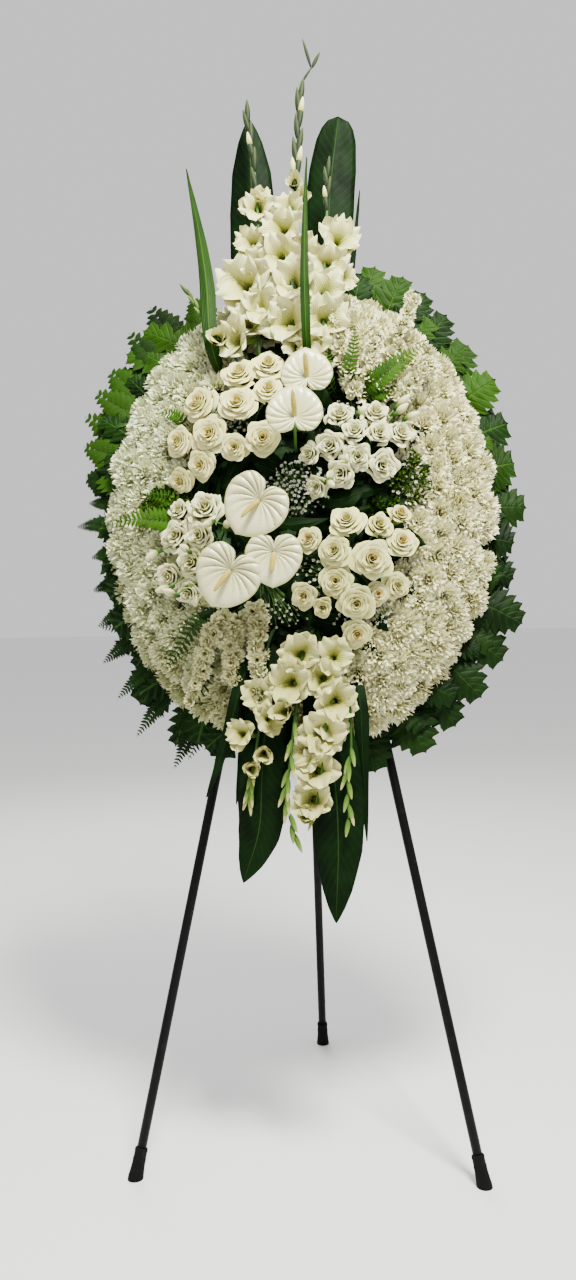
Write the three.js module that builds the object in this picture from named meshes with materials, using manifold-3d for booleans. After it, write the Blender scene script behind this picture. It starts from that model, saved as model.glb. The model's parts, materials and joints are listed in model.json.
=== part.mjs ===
// Oval flower cushion with a spray of flowers and leaves, held on a folding three-legged stand.
// Millimetres, +Z up. The flowers face -Y, and the origin is on the floor under the middle.

import * as THREE from 'three';
import { mergeVertices } from 'three/addons/utils/BufferGeometryUtils.js';
import Module from 'manifold-3d';

const wasm = await Module();
wasm.setup();

// Driving dimensions of the stand
const leanAngle = THREE.MathUtils.degToRad(10);
const cushionCentre = new THREE.Vector3(0, -56.5, 1106.2);
const legRadius = 8;
const legBore = 6.6;
const legSides = 10;
const touchGap = 0.3;
const frontFoot = new THREE.Vector3(289, -233, 0);
const rearFoot = new THREE.Vector3(0, 314, 0);
const legPlane = -18.3;
const legMeeting = 308.4;
const legTop = 243;
const hingeHeight = 286;
const hingeDepth = -40;
const pinRadius = 3;

// Driving dimensions of the cushion
const boardHalfWidth = 296;
const boardHalfHeight = 371;
const boardThickness = 10;
const foamHalfWidth = 305;
const foamHalfHeight = 380;
const foamEdge = 22;
const foamRise = 80;
const bloomRadius = 36;
const bloomHeight = 38;
const bloomValley = 11;
const bloomUnderside = 5;
const bloomFrills = 8;
const bloomRows = [
  { from: 0, middle: 13, to: 44, count: 30 },
  { from: 44, middle: 73, to: 103, count: 25 },
  { from: 103, middle: 130, to: 158, count: 20 },
];
const sectorRows = [2, 2, 2, 2, 3];
const cushionSectors = 5;

// Driving dimensions of the leaves and stems
const leafThickness = 2.4;
const clearances = [0.35, 0.7, 1.4, 2.8];
const leastOverlap = 0.001;
const finestDetail = 0.05;

// Repeatable random draw between two numbers
function seededDraw(seed) {
  let state = seed;
  return (low, high) => {
    state = (state + 0x6d2b79f5) | 0;
    let mixed = Math.imul(state ^ (state >>> 15), 1 | state);
    mixed = (mixed + Math.imul(mixed ^ (mixed >>> 7), 61 | mixed)) ^ mixed;
    return low + (high - low) * (((mixed ^ (mixed >>> 14)) >>> 0) / 4294967296);
  };
}

// Point of the cushion's own frame: x to the right, z up its face, out towards the viewer
const spot = (x, z, out) => new THREE.Vector3(x, -out, z);

// Closed form as corner points and triangles
function toSolid(form) {
  const vertProperties = new Float32Array(form.points.length * 3);
  form.points.forEach((corner, index) => corner.toArray(vertProperties, 3 * index));
  const triVerts = Uint32Array.from(form.faces.flat());
  return new wasm.Manifold(new wasm.Mesh({ numProp: 3, vertProperties, triVerts }));
}

const fuse = (forms) => forms.map(toSolid).reduce((whole, next) => whole.add(next));

// The same form with every corner moved out, so that each face lies that much further out
function swell(form, amount) {
  const normals = form.points.map(() => []);
  for (const face of form.faces) {
    const [a, b, c] = face.map((index) => form.points[index]);
    const normal = new THREE.Triangle(a, b, c).getNormal(new THREE.Vector3());
    face.forEach((index) => normals[index].push(normal));
  }
  const points = form.points.map((corner, index) => {
    const mean = new THREE.Vector3();
    normals[index].forEach((normal) => mean.add(normal));
    mean.normalize();
    const least = Math.min(...normals[index].map((normal) => normal.dot(mean)));
    return corner.clone().addScaledVector(mean, amount / Math.max(least, 0.35));
  });
  return { points, faces: form.faces };
}

// Closed form through rings of equal count. Each end runs to a point, or is flat where none is given.
function ringForm(first, rings, last) {
  const count = rings[0].length;
  const points = rings.flat();
  const faces = [];
  for (let k = 0; k + 1 < rings.length; k += 1) {
    for (let i = 0; i < count; i += 1) {
      const a = k * count + i;
      const b = k * count + ((i + 1) % count);
      faces.push([a, b, b + count], [a, b + count, a + count]);
    }
  }
  const top = (rings.length - 1) * count;
  if (first) points.push(first);
  const firstIndex = points.length - 1;
  for (let i = 1; i + 1 < count && !first; i += 1) faces.push([0, i + 1, i]);
  for (let i = 0; i < count && first; i += 1) faces.push([firstIndex, (i + 1) % count, i]);
  if (last) points.push(last);
  const lastIndex = points.length - 1;
  for (let i = 1; i + 1 < count && !last; i += 1) faces.push([top, top + i, top + i + 1]);
  for (let i = 0; i < count && last; i += 1) faces.push([top + i, top + ((i + 1) % count), lastIndex]);
  return { points, faces };
}

// Three directions at right angles, the last along the given one
function directions(forward) {
  const ahead = forward.clone().normalize();
  const up = Math.abs(ahead.z) > 0.95 ? new THREE.Vector3(0, 1, 0) : new THREE.Vector3(0, 0, 1);
  const across = up.clone().cross(ahead).normalize();
  const upward = ahead.clone().cross(across);
  return { across, upward, ahead };
}

// Rod through a list of points with a radius at each
function rod(path, radii, sides = 4) {
  const rings = path.map((centre, k) => {
    const before = path[Math.max(k - 1, 0)];
    const after = path[Math.min(k + 1, path.length - 1)];
    const { across, upward } = directions(after.clone().sub(before));
    return Array.from({ length: sides }, (_, i) => {
      const angle = ((i + 0.5) * 2 * Math.PI) / sides;
      return centre.clone()
        .addScaledVector(across, radii[k] * Math.cos(angle))
        .addScaledVector(upward, radii[k] * Math.sin(angle));
    });
  });
  return ringForm(null, rings, null);
}

// Flower head from rings of waved petals. A ring is radius, height, wave, lift and turn.
const bloomForms = {
  rose: {
    petals: 3,
    back: -0.95,
    heart: 0.42,
    rings: [
      [0.99, -0.1, 0.07, 0.12, 0],
      [0.72, 0.02, 0.03, 0.03, 1],
      [0.6, 0.4, 0.06, 0.08, 1],
    ],
  },
  ruffled: {
    petals: 3,
    back: -0.9,
    heart: 0.1,
    rings: [[0.97, 0.05, 0.12, 0.14, 0], [0.5, 0.3, 0.1, 0.08, 1]],
  },
  trumpet: {
    petals: 4,
    back: -1.25,
    heart: -0.3,
    rings: [[0.88, 0.05, 0.2, 0.12, 0]],
  },
  floret: {
    petals: 3,
    back: -0.6,
    heart: 0.22,
    rings: [[0.96, 0, 0.12, 0.16, 0]],
  },
};

function bloom(kind, centre, facing, radius, draw) {
  const { petals, back, heart, rings } = bloomForms[kind];
  const { across, upward, ahead } = directions(facing);
  const count = 2 * petals;
  const twist = draw(0, Math.PI);
  const at = (reach, height, angle) => centre.clone()
    .addScaledVector(across, radius * reach * Math.cos(angle))
    .addScaledVector(upward, radius * reach * Math.sin(angle))
    .addScaledVector(ahead, radius * height);
  const corners = rings.map(([reach, height, wave, lift, turn]) => (
    Array.from({ length: count }, (_, i) => {
      const sign = i % 2 === turn ? 1 : -1;
      const loose = draw(0.95, 1.05);
      return at(loose * reach * (1 + wave * sign), height + lift * sign, twist + (i * 2 * Math.PI) / count);
    })
  ));
  return ringForm(at(0, back, 0), corners, at(0, heart, 0));
}

// Pointed bud between two points
function bud(base, tip, radius, sides = 5) {
  const middle = base.clone().lerp(tip, 0.4);
  const { across, upward } = directions(tip.clone().sub(base));
  const ring = Array.from({ length: sides }, (_, i) => {
    const angle = (i * 2 * Math.PI) / sides;
    return middle.clone()
      .addScaledVector(across, radius * Math.cos(angle))
      .addScaledVector(upward, radius * Math.sin(angle));
  });
  return ringForm(base.clone(), [ring], tip.clone());
}

// Hair-thin stalk with one small head at its end
function sprig(foot, head, size) {
  const { across, upward, ahead } = directions(head.clone().sub(foot));
  const ring = (centre, radius) => [0, 1, 2, 3].map((quarter) => centre.clone()
    .addScaledVector(across, radius * Math.cos((quarter * Math.PI) / 2))
    .addScaledVector(upward, radius * Math.sin((quarter * Math.PI) / 2)));
  const neck = head.clone().addScaledVector(ahead, -0.9 * size);
  return ringForm(foot.clone(), [ring(neck, 0.8), ring(head, size)], head.clone().addScaledVector(ahead, 0.8 * size));
}

// Arched blade along a curve. A station is place along it, half width, forward sweep and rise.
function blade(path, face, stations) {
  const curve = new THREE.CatmullRomCurve3(path, false, 'centripetal');
  const points = [curve.getPoint(0)];
  for (const [place, half, sweep = 0, rise = leafThickness] of stations) {
    const middle = curve.getPoint(place);
    const along = curve.getTangent(place);
    const across = along.clone().cross(face).normalize();
    const normal = across.clone().cross(along).normalize();
    const edge = (side) => middle.clone()
      .addScaledVector(across, side * half)
      .addScaledVector(along, sweep)
      .addScaledVector(normal, -rise / 2);
    points.push(edge(1), middle.clone().addScaledVector(normal, rise / 2), edge(-1));
  }
  points.push(curve.getPoint(1));
  const last = points.length - 1;
  const faces = [[0, 1, 2], [0, 2, 3], [0, 3, 1]];
  for (let k = 0; k + 1 < stations.length; k += 1) {
    const [right, top, left] = [1, 2, 3].map((index) => index + 3 * k);
    faces.push([right, top + 3, top], [right, right + 3, top + 3]);
    faces.push([left, top, top + 3], [left, top + 3, left + 3]);
    faces.push([right, left, left + 3], [right, left + 3, right + 3]);
  }
  faces.push([last, last - 2, last - 3], [last, last - 1, last - 2], [last, last - 3, last - 1]);
  return { points, faces };
}

// Form from one of the standard geometries, moved by a matrix
function formOf(geometry, place = new THREE.Matrix4()) {
  const bare = geometry.clone().applyMatrix4(place);
  bare.deleteAttribute('normal');
  bare.deleteAttribute('uv');
  const joined = mergeVertices(bare, 0.001);
  const corners = joined.getAttribute('position');
  const points = Array.from({ length: corners.count }, (_, i) => (
    new THREE.Vector3().fromBufferAttribute(corners, i)));
  const indices = Array.from(joined.index.array);
  const faces = [];
  for (let i = 0; i < indices.length; i += 3) {
    const [a, b, c] = indices.slice(i, i + 3);
    if (a !== b && b !== c && c !== a) faces.push([a, b, c]);
  }
  const turning = ([a, b, c]) => points[a].dot(points[b].clone().cross(points[c]));
  const inward = faces.reduce((sum, face) => sum + turning(face), 0) < 0;
  return { points, faces: inward ? faces.map(([a, b, c]) => [a, c, b]) : faces };
}

// Turned form whose axis runs from one point towards another
function turned(profile, from, towards, sides = legSides) {
  const axis = towards.clone().sub(from).normalize();
  const turn = new THREE.Quaternion().setFromUnitVectors(new THREE.Vector3(0, 1, 0), axis);
  const place = new THREE.Matrix4().compose(from, turn, new THREE.Vector3(1, 1, 1));
  const outline = profile.map(([radius, along]) => new THREE.Vector2(radius, along));
  return formOf(new THREE.LatheGeometry(outline, sides), place);
}

function block(low, high) {
  const size = high.clone().sub(low);
  const middle = low.clone().add(high).multiplyScalar(0.5);
  const place = new THREE.Matrix4().setPosition(middle);
  return formOf(new THREE.BoxGeometry(Math.abs(size.x), Math.abs(size.y), Math.abs(size.z)), place);
}

const cushionPlace = new THREE.Matrix4().makeRotationX(-leanAngle).setPosition(cushionCentre);
const fromFloor = cushionPlace.clone().invert();

// Every piece in the order in which it keeps its full shape
const pieces = [];
function addPiece(name, look, forms, options = {}) {
  pieces.push({ name, look, forms, ...options });
}

// Looks
const looks = {
  blackMetal: { color: 0x16181a, roughness: 0.45, metalness: 0.6 },
  steel: { color: 0x8c9094, roughness: 0.35, metalness: 0.9 },
  rubber: { color: 0x0d0d0e, roughness: 0.9, metalness: 0 },
  board: { color: 0xb99667, roughness: 0.8, metalness: 0 },
  foam: { color: 0x3f6a3c, roughness: 0.95, metalness: 0 },
  carnation: { color: 0xe9e6d6, roughness: 0.7, metalness: 0 },
  rose: { color: 0xefe9cf, roughness: 0.6, metalness: 0 },
  white: { color: 0xf2f1ea, roughness: 0.6, metalness: 0 },
  spathe: { color: 0xefeee0, roughness: 0.3, metalness: 0 },
  spadix: { color: 0xe6d37c, roughness: 0.6, metalness: 0 },
  gladiolus: { color: 0xeeedd8, roughness: 0.6, metalness: 0 },
  darkLeaf: { color: 0x23452a, roughness: 0.4, metalness: 0 },
  blade: { color: 0x3c6b32, roughness: 0.45, metalness: 0 },
  freshLeaf: { color: 0x4c8a35, roughness: 0.5, metalness: 0 },
  fern: { color: 0x3f7a2e, roughness: 0.6, metalness: 0 },
};

const foamFront = (x, z) => {
  const reach = Math.hypot(x / foamHalfWidth, z / foamHalfHeight);
  return foamEdge + foamRise * Math.sqrt(Math.max(0, 1 - reach * reach));
};
// Root of a bunch: a peg in the foam, and the spot just above the foam where its stems start
const peg = (x, z, radius = 4, sides = 3) => (
  rod([spot(x, z, foamFront(x, z) - 30), spot(x, z, foamFront(x, z) + 9)], [radius, radius], sides));
const crown = (x, z) => [x, z, foamFront(x, z) + 5];

// Spadix of each flamingo flower, and its shield with a stem
const shieldOutline = [
  [0, 0.86], [0.34, 0.62], [0.68, 0.2], [0.77, -0.28], [0.46, -0.6], [0.12, -0.5], [0, -0.36],
];
const flamingoFlowers = [
  { name: 'top', at: [25, 187, 208], tip: [-2, 36], size: 50, root: [14, 122] },
  { name: 'upper', at: [6, 118, 222], tip: [-1, 32], size: 54, root: [2, 84] },
  { name: 'centre', at: [-56, -35, 228], tip: [-28, -38], size: 63, root: [-48, -18] },
  { name: 'left', at: [-103, -141, 205], tip: [-33, -56], size: 64, root: [-78, -92] },
  { name: 'lower', at: [-29, -117, 214], tip: [-2, -45], size: 54, root: [-22, -88] },
];
for (const flower of flamingoFlowers) {
  const centre = spot(...flower.at);
  const tipward = spot(flower.tip[0], flower.tip[1], 0).normalize();
  const facing = spot(flower.tip[0] * 0.004, flower.tip[1] * 0.004, 1).normalize();
  const across = tipward.clone().cross(facing).normalize();
  const onShield = (x, y, height) => centre.clone()
    .addScaledVector(across, x * flower.size)
    .addScaledVector(tipward, y * flower.size)
    .addScaledVector(facing, height * flower.size);
  const seat = onShield(0, -0.16, -0.04);
  const bend = onShield(0, 0.08, 0.32);
  const end = onShield(0, 0.42, 0.56);
  const spadix = rod([seat, bend, end], [2.6, 4, 2.4], 5);
  addPiece(`anthurium_${flower.name}_spadix`, looks.spadix, [spadix]);
  const half = shieldOutline.slice(1, -1);
  const outline = [shieldOutline[0], ...half.map(([x, y]) => [-x, y]),
    shieldOutline[shieldOutline.length - 1], ...half.slice().reverse()];
  const wavy = (index, x, y) => 0.1 * Math.hypot(x, y) + (index % 2 ? 0.03 : -0.03);
  const rim = outline.map(([x, y], index) => onShield(x, y, wavy(index, x, y)));
  const inner = outline.map(([x, y]) => onShield(x * 0.55, y * 0.55 - 0.04, 0.06));
  const shield = ringForm(onShield(0, -0.1, -0.1), [rim, inner], onShield(0, -0.1, 0.02));
  const [rootX, rootZ] = flower.root;
  const root = spot(rootX, rootZ, foamFront(rootX, rootZ) - 32);
  const stem = rod([root, spot(rootX, rootZ, 150), onShield(0, -0.1, -0.05)], [2.8, 2.8, 2.4], 3);
  addPiece(`anthurium_${flower.name}`, looks.spathe, [shield, stem]);
}

// Bunch of heads on stems that meet in one root in the foam. A head is x, z, out and radius.
function bunch(kind, root, heads, seed, spread = 0.004) {
  const draw = seededDraw(seed);
  const [rootX, rootZ] = root;
  const front = foamFront(rootX, rootZ);
  const forms = [peg(rootX, rootZ)];
  for (const [x, z, out, radius, form = kind] of heads) {
    const centre = spot(x, z, out);
    const facing = spot((x - rootX) * spread, (z - rootZ) * spread, 1);
    forms.push(bloom(form, centre, facing, radius, draw));
    const end = centre.clone().addScaledVector(facing.normalize(), -0.5 * radius);
    forms.push(rod([spot(rootX, rootZ, front + 4), end], [1.8, 1.8], 3));
  }
  return forms;
}
addPiece('roses_upper_left', looks.rose, bunch('rose', [-80, 128], [
  [-91, 212, 148, 29], [-93, 158, 160, 29], [-140, 110, 150, 29], [-98, 84, 158, 22],
  [-52, 96, 164, 27], [-160, 168, 138, 29], [-44, 226, 146, 28], [-42, 180, 158, 24],
  [-157, 60, 142, 23], [-193, 38, 130, 21], [-196, 106, 128, 24],
], 11));
addPiece('roses_lower_right', looks.rose, bunch('rose', [92, -108], [
  [85, -50, 165, 26], [123, -112, 168, 29], [66, -98, 170, 24], [66, -145, 160, 25],
  [135, -56, 152, 23], [170, -36, 140, 19], [172, -80, 142, 23], [98, -180, 154, 26],
  [132, -164, 142, 18], [163, -150, 134, 20], [44, -186, 158, 16], [14, -166, 152, 19],
  [24, -76, 160, 19], [98, -226, 136, 21],
], 12));
addPiece('lisianthus_upper_right', looks.white, bunch('ruffled', [112, 84], [
  [76, 136, 152, 22], [134, 140, 142, 24], [100, 104, 164, 21], [140, 102, 154, 21],
  [176, 106, 138, 23], [58, 82, 158, 23], [104, 60, 162, 23], [144, 48, 150, 25],
  [76, 34, 158, 24], [36, 14, 152, 18], [24, 70, 152, 18],
], 13));
addPiece('lisianthus_left', looks.white, bunch('ruffled', [-132, -62], [
  [-150, -14, 148, 25], [-200, -58, 136, 24], [-158, -62, 152, 22], [-170, -106, 146, 24],
  [-212, -124, 128, 20], [-178, -154, 134, 19], [-196, -14, 132, 18],
], 14));

// Stem as a bent line: the spot at a share of its length, and the spot nearest to another
function stemLine(path) {
  const line = new THREE.CurvePath();
  const corners = path.map((place) => spot(...place));
  for (let i = 1; i < corners.length; i += 1) line.add(new THREE.LineCurve3(corners[i - 1], corners[i]));
  const nearest = (target) => {
    const steps = Array.from({ length: 61 }, (_, i) => line.getPointAt(i / 60));
    return steps.reduce((best, next) => (next.distanceTo(target) < best.distanceTo(target) ? next : best));
  };
  return { corners, nearest, at: (share) => line.getPointAt(share), along: (share) => line.getTangentAt(share) };
}

// Upright or hanging spike: buds up to its end and open florets nearer its foot
function spike(path, radius, buds, florets, draw) {
  const stem = stemLine(path);
  const radii = stem.corners.map((_, i) => radius * (1 - (0.5 * i) / (stem.corners.length - 1)));
  const forms = [rod(stem.corners, radii, 3)];
  for (const [place, side, length] of buds) {
    const base = stem.at(place);
    const ahead = stem.along(place);
    const { across } = directions(ahead);
    const lean = ahead.clone().addScaledVector(across, 0.38 * side).add(spot(0, 0, 0.16)).normalize();
    const foot = base.clone().addScaledVector(lean, -0.1 * length);
    forms.push(bud(foot, base.clone().addScaledVector(lean, length), 0.17 * length, 4));
  }
  for (const [x, z, out, size] of florets) {
    const centre = spot(x, z, out);
    const nearest = stem.nearest(centre);
    const facing = centre.clone().sub(nearest).multiplyScalar(0.012).add(spot(0, 0, 1));
    const head = bloom('trumpet', centre, facing, size, draw);
    head.points[head.points.length - 2].copy(nearest);
    forms.push(head);
  }
  return forms;
}

const gladiolusDraw = seededDraw(21);
const evenBuds = (from, to, count, length) => Array.from({ length: count }, (_, i) => (
  [from + ((to - from) * i) / Math.max(count - 1, 1), i % 2 ? 1 : -1, length]));
addPiece('gladiolus_top_centre', looks.gladiolus, [
  peg(2, 172, 5),
  ...spike(
    [crown(2, 172), [4, 230, 128], [-4, 400, 130], [-3, 500, 112], [2, 597, 92], [6, 700, 78], [10, 800, 68]],
    5,
    evenBuds(0.7, 0.93, 6, 44),
    [[-22, 486, 134, 28], [-10, 530, 120, 21], [-22, 430, 144, 29], [-2, 376, 156, 31],
      [-12, 304, 160, 34], [0, 582, 102, 17]],
    gladiolusDraw,
  ),
  bud(spot(8, 790, 69), spot(34, 834, 65), 4, 4),
  bud(spot(30, 826, 65), spot(14, 892, 60), 4.5, 4),
  bud(spot(30, 826, 65), spot(46, 862, 60), 5, 4),
]);
addPiece('gladiolus_top_left', looks.gladiolus, [
  peg(-50, 186, 5),
  ...spike(
    [crown(-50, 186), [-60, 250, 128], [-62, 400, 120], [-66, 540, 96], [-76, 650, 82], [-87, 730, 75]],
    4.6,
    evenBuds(0.74, 0.97, 4, 40),
    [[-64, 541, 110, 24], [-78, 468, 122, 23], [-92, 386, 140, 39], [-58, 338, 152, 28],
      [-108, 280, 146, 28]],
    gladiolusDraw,
  ),
  ...spike([crown(-50, 187), [-110, 262, 130], [-155, 326, 122], [-186, 380, 106]], 3,
    evenBuds(0.5, 0.93, 4, 32), [], gladiolusDraw),
]);
addPiece('gladiolus_top_right', looks.gladiolus, [
  peg(44, 178, 5),
  ...spike(
    [crown(44, 178), [48, 240, 124], [50, 380, 118], [56, 516, 96], [58, 600, 88]],
    4.6,
    evenBuds(0.8, 0.97, 3, 36),
    [[82, 474, 112, 29], [60, 416, 130, 26], [52, 362, 142, 28], [54, 308, 152, 31]],
    gladiolusDraw,
  ),
]);
addPiece('gladioli_bottom', looks.gladiolus, [
  peg(30, -208, 5),
  ...spike(
    [crown(29, -208), [12, -250, 134], [0, -340, 144], [-12, -440, 142], [-18, -490, 136], [-6, -552, 122]],
    4.6,
    evenBuds(0.5, 0.95, 5, 34),
    [[6, -262, 160, 27], [-14, -306, 162, 30]],
    gladiolusDraw,
  ),
  ...spike(
    [crown(30, -208), [42, -262, 134], [46, -340, 136], [42, -420, 132], [22, -530, 114]],
    4.4,
    [[0.97, 1, 26]],
    [[62, -264, 152, 24], [38, -300, 158, 24], [64, -336, 152, 26], [42, -388, 150, 27],
      [30, -444, 144, 26], [22, -490, 134, 24]],
    gladiolusDraw,
  ),
  ...spike(
    [crown(31, -208), [78, -290, 136], [86, -400, 138], [80, -450, 134], [80, -528, 118]],
    3.4,
    evenBuds(0.6, 0.93, 4, 30),
    [],
    gladiolusDraw,
  ),
]);
addPiece('gladiolus_bottom_left', looks.gladiolus, [
  peg(-38, -206, 5),
  ...spike(
    [crown(-38, -206), [-48, -250, 134], [-62, -380, 134], [-74, -450, 126], [-82, -484, 116]],
    4.6,
    evenBuds(0.8, 0.97, 2, 30),
    [[-66, -328, 147, 22], [-44, -366, 147, 20], [-92, -394, 143, 19]],
    gladiolusDraw,
  ),
]);

// Stock: small ruffled florets packed along a stem
function packedSpike(path, count, size, draw) {
  const stem = stemLine(path);
  const radii = stem.corners.map((_, i) => 3 - (1.2 * i) / (stem.corners.length - 1));
  const forms = [rod(stem.corners, radii, 3)];
  for (let i = 0; i < count; i += 1) {
    const place = 0.3 + (0.69 * i) / (count - 1);
    const { across } = directions(stem.along(place));
    const side = i % 2 ? 1 : -1;
    const facing = across.clone().multiplyScalar(0.5 * side).add(spot(0, 0, 1)).normalize();
    const radius = size * (1.08 - 0.4 * place);
    const centre = stem.at(place).addScaledVector(facing, 0.3 * radius);
    forms.push(bloom('floret', centre, facing, radius, draw));
  }
  return forms;
}
const stockDraw = seededDraw(31);
addPiece('stock_upper_right', looks.white, [
  peg(124, 152, 5),
  ...packedSpike([crown(122, 152), [98, 190, 128], [80, 262, 134], [68, 326, 122]], 5, 18, stockDraw),
  ...packedSpike([crown(124, 153), [126, 200, 128], [132, 250, 126], [136, 292, 114]], 3, 17, stockDraw),
  ...packedSpike([crown(125, 152), [150, 196, 130], [178, 276, 124], [202, 356, 106]], 5, 19, stockDraw),
  ...packedSpike([crown(125, 151), [172, 172, 128], [210, 212, 120], [230, 250, 108]], 3, 17, stockDraw),
]);
addPiece('stock_lower_left', looks.white, [
  peg(-88, -170, 5),
  ...packedSpike([crown(-87, -170), [-68, -196, 130], [-62, -262, 134], [-60, -330, 126]], 4, 17, stockDraw),
  ...packedSpike([crown(-89, -170), [-126, -206, 130], [-154, -258, 122], [-174, -326, 104]], 5, 17, stockDraw),
  ...packedSpike([crown(-88, -171), [-98, -214, 130], [-106, -254, 126], [-108, -300, 118]], 3, 16, stockDraw),
]);

// Broad and narrow leaves
const paddle = (half) => [
  [0.02, 3, 0, 5], [0.16, 4, 0, 5], [0.3, 0.62 * half, 0, 5], [0.46, 0.96 * half, 0, 7],
  [0.62, half, 0, 7], [0.78, 0.86 * half, 0, 6], [0.9, 0.54 * half, 0, 4], [0.97, 0.22 * half, 0, 2],
];
const strap = (half) => [
  [0.02, 3, 0, 5], [0.2, 0.8 * half, 0, 4], [0.45, half, 0, 4], [0.7, 0.7 * half, 0, 3],
  [0.9, 0.3 * half, 0, 2],
];
const towardsViewer = spot(0, 0, 1);
function leaf(path, stations, face = towardsViewer) {
  return blade(path.map((place) => spot(...place)), face, stations);
}
addPiece('leaf_top_left', looks.darkLeaf, [
  leaf([[-70, 356, 14], [-84, 440, 16], [-84, 600, 24], [-88, 756, 34]], paddle(42)),
]);
addPiece('leaves_top_right', looks.darkLeaf, [
  leaf([[50, 356, 14], [54, 450, 16], [60, 600, 22], [78, 752, 30]], paddle(45)),
  leaf([[54, 366, 14], [88, 420, 9], [102, 500, 11], [114, 612, 16]], strap(6)),
]);
addPiece('blade_top_left', looks.blade, [
  leaf([[-118, 214, 60], [-140, 268, 136], [-152, 392, 122], [-170, 500, 96], [-198, 638, 72]], strap(14)),
]);
addPiece('blade_top_centre', looks.blade, [
  leaf([[22, 218, 60], [24, 240, 176], [22, 350, 196], [22, 470, 172], [25, 598, 150]], strap(8)),
]);
addPiece('leaves_bottom_left', looks.darkLeaf, [
  peg(-40, -232, 5),
  leaf([crown(-40, -232), [-44, -262, 120], [-58, -440, 116], [-66, -540, 96], [-94, -626, 84]], paddle(40)),
  leaf([crown(-41, -232), [-80, -272, 124], [-118, -400, 122], [-152, -488, 102]], strap(13)),
]);
addPiece('leaf_bottom_right', looks.darkLeaf, [
  leaf([[20, -240, 56], [30, -262, 118], [56, -440, 116], [62, -560, 94], [56, -690, 80]], paddle(45)),
]);
addPiece('leaves_folded', looks.darkLeaf, [
  peg(-10, 42, 5),
  leaf([crown(-11, 42), [-40, 66, 134], [-80, 82, 136], [-112, 40, 132], [-126, 8, 118]], strap(14)),
  leaf([crown(-9, 42), [2, 64, 134], [20, 50, 140], [44, 26, 138]], strap(10)),
  leaf([crown(-9, 41), [56, -4, 134], [110, 8, 136], [156, 18, 126]], strap(13)),
  leaf([crown(-10, 41), [-24, -36, 136], [14, -44, 142], [58, -34, 136]], strap(10)),
]);

// Leaf cut into lobes or leaflets on both sides, as one thin folded outline
function cutLeaf(half, lobes, options = {}) {
  const { notch = 0.34, sweep = 9, rise = 3.4, stalk = 0.2, widest = 0.35 } = options;
  const stations = [[0.03, 2.2, 0, 4.4]];
  const width = (place) => {
    const away = place < widest ? (widest - place) / widest : (place - widest) / (1.04 - widest);
    return half * (1 - (place < widest ? 0.75 : 0.9) * away * away);
  };
  for (let i = 0; i < lobes; i += 1) {
    const start = stalk + ((0.95 - stalk) * i) / lobes;
    const middle = start + (0.42 * (0.95 - stalk)) / lobes;
    stations.push([start, Math.max(2, (i ? notch : 0.1) * width(start)), 0, 0.8 * rise]);
    stations.push([middle, width(middle), sweep, rise]);
  }
  return stations;
}

addPiece('ferns_upper_right', looks.fern, [
  peg(96, 184),
  leaf([crown(97, 184), [130, 190, 146], [176, 226, 148], [224, 268, 122]], cutLeaf(18, 7, { widest: 0.5 })),
  leaf([crown(96, 185), [90, 206, 146], [100, 250, 154], [104, 300, 140]], cutLeaf(11, 5, { widest: 0.5 })),
]);
addPiece('greens_left', looks.fern, [
  peg(-178, -34),
  leaf([crown(-178, -34), [-204, -32, 126], [-262, -26, 132], [-330, -28, 102]], cutLeaf(19, 8, { widest: 0.5 })),
  leaf([crown(-179, -33), [-200, -2, 126], [-226, 10, 132], [-256, 14, 128]], cutLeaf(14, 4)),
]);
addPiece('ferns_lower_left', looks.darkLeaf, [
  peg(-142, -180),
  leaf([crown(-143, -180), [-164, -200, 124], [-194, -244, 124], [-222, -280, 110]], cutLeaf(17, 5)),
  leaf([crown(-142, -181), [-146, -216, 118], [-152, -300, 114], [-192, -352, 94]], cutLeaf(14, 4)),
]);

// Gypsophila: many tiny flowers on hair-thin stalks from one root
const cloudDraw = seededDraw(41);
const cloudRoot = [6, 14];
const cloudForms = [peg(...cloudRoot, 3, 4)];
const cloudCount = 20;
for (let i = 0; i < cloudCount; i += 1) {
  const angle = i * 2.4;
  const reach = 48 * Math.sqrt((i + 0.7) / cloudCount);
  const x = cloudRoot[0] - 8 + reach * Math.cos(angle);
  const z = cloudRoot[1] + 0.9 * reach * Math.sin(angle);
  const head = spot(x, z, 156 - 0.006 * reach * reach + cloudDraw(-6, 6));
  const foot = spot(cloudRoot[0], cloudRoot[1], 100 + (i % 6) * 2);
  cloudForms.push(sprig(foot, head, cloudDraw(4.4, 5.6)));
}
addPiece('gypsophila', looks.white, cloudForms);

// Place along an oval at an even share of its length
function ovalAngle(share) {
  const steps = 720;
  const lengths = [0];
  for (let i = 1; i <= steps; i += 1) {
    const angle = ((i - 0.5) * 2 * Math.PI) / steps;
    const stride = Math.hypot(foamHalfWidth * Math.sin(angle), foamHalfHeight * Math.cos(angle));
    lengths.push(lengths[i - 1] + stride);
  }
  const wanted = (((share % 1) + 1) % 1) * lengths[steps];
  const index = lengths.findIndex((length) => length >= wanted);
  return (Math.max(index, 0) * 2 * Math.PI) / steps;
}

// Foam pad: straight edge, then a dome, with a flat back
function foamForm(extra = 0) {
  const count = 18;
  const ring = (reach, out) => Array.from({ length: count }, (_, i) => {
    const angle = (i * 2 * Math.PI) / count;
    return spot(
      (foamHalfWidth + extra) * reach * Math.cos(angle),
      (foamHalfHeight + extra) * reach * Math.sin(angle),
      out,
    );
  });
  const height = (reach) => foamEdge + extra + foamRise * Math.sqrt(1 - reach * reach);
  const rings = [ring(1, touchGap - extra), ring(1, foamEdge + extra)];
  for (const reach of [0.93, 0.75, 0.45]) rings.push(ring(reach, height(reach)));
  return ringForm(spot(0, 0, touchGap - extra), rings, spot(0, 0, height(0)));
}

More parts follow.
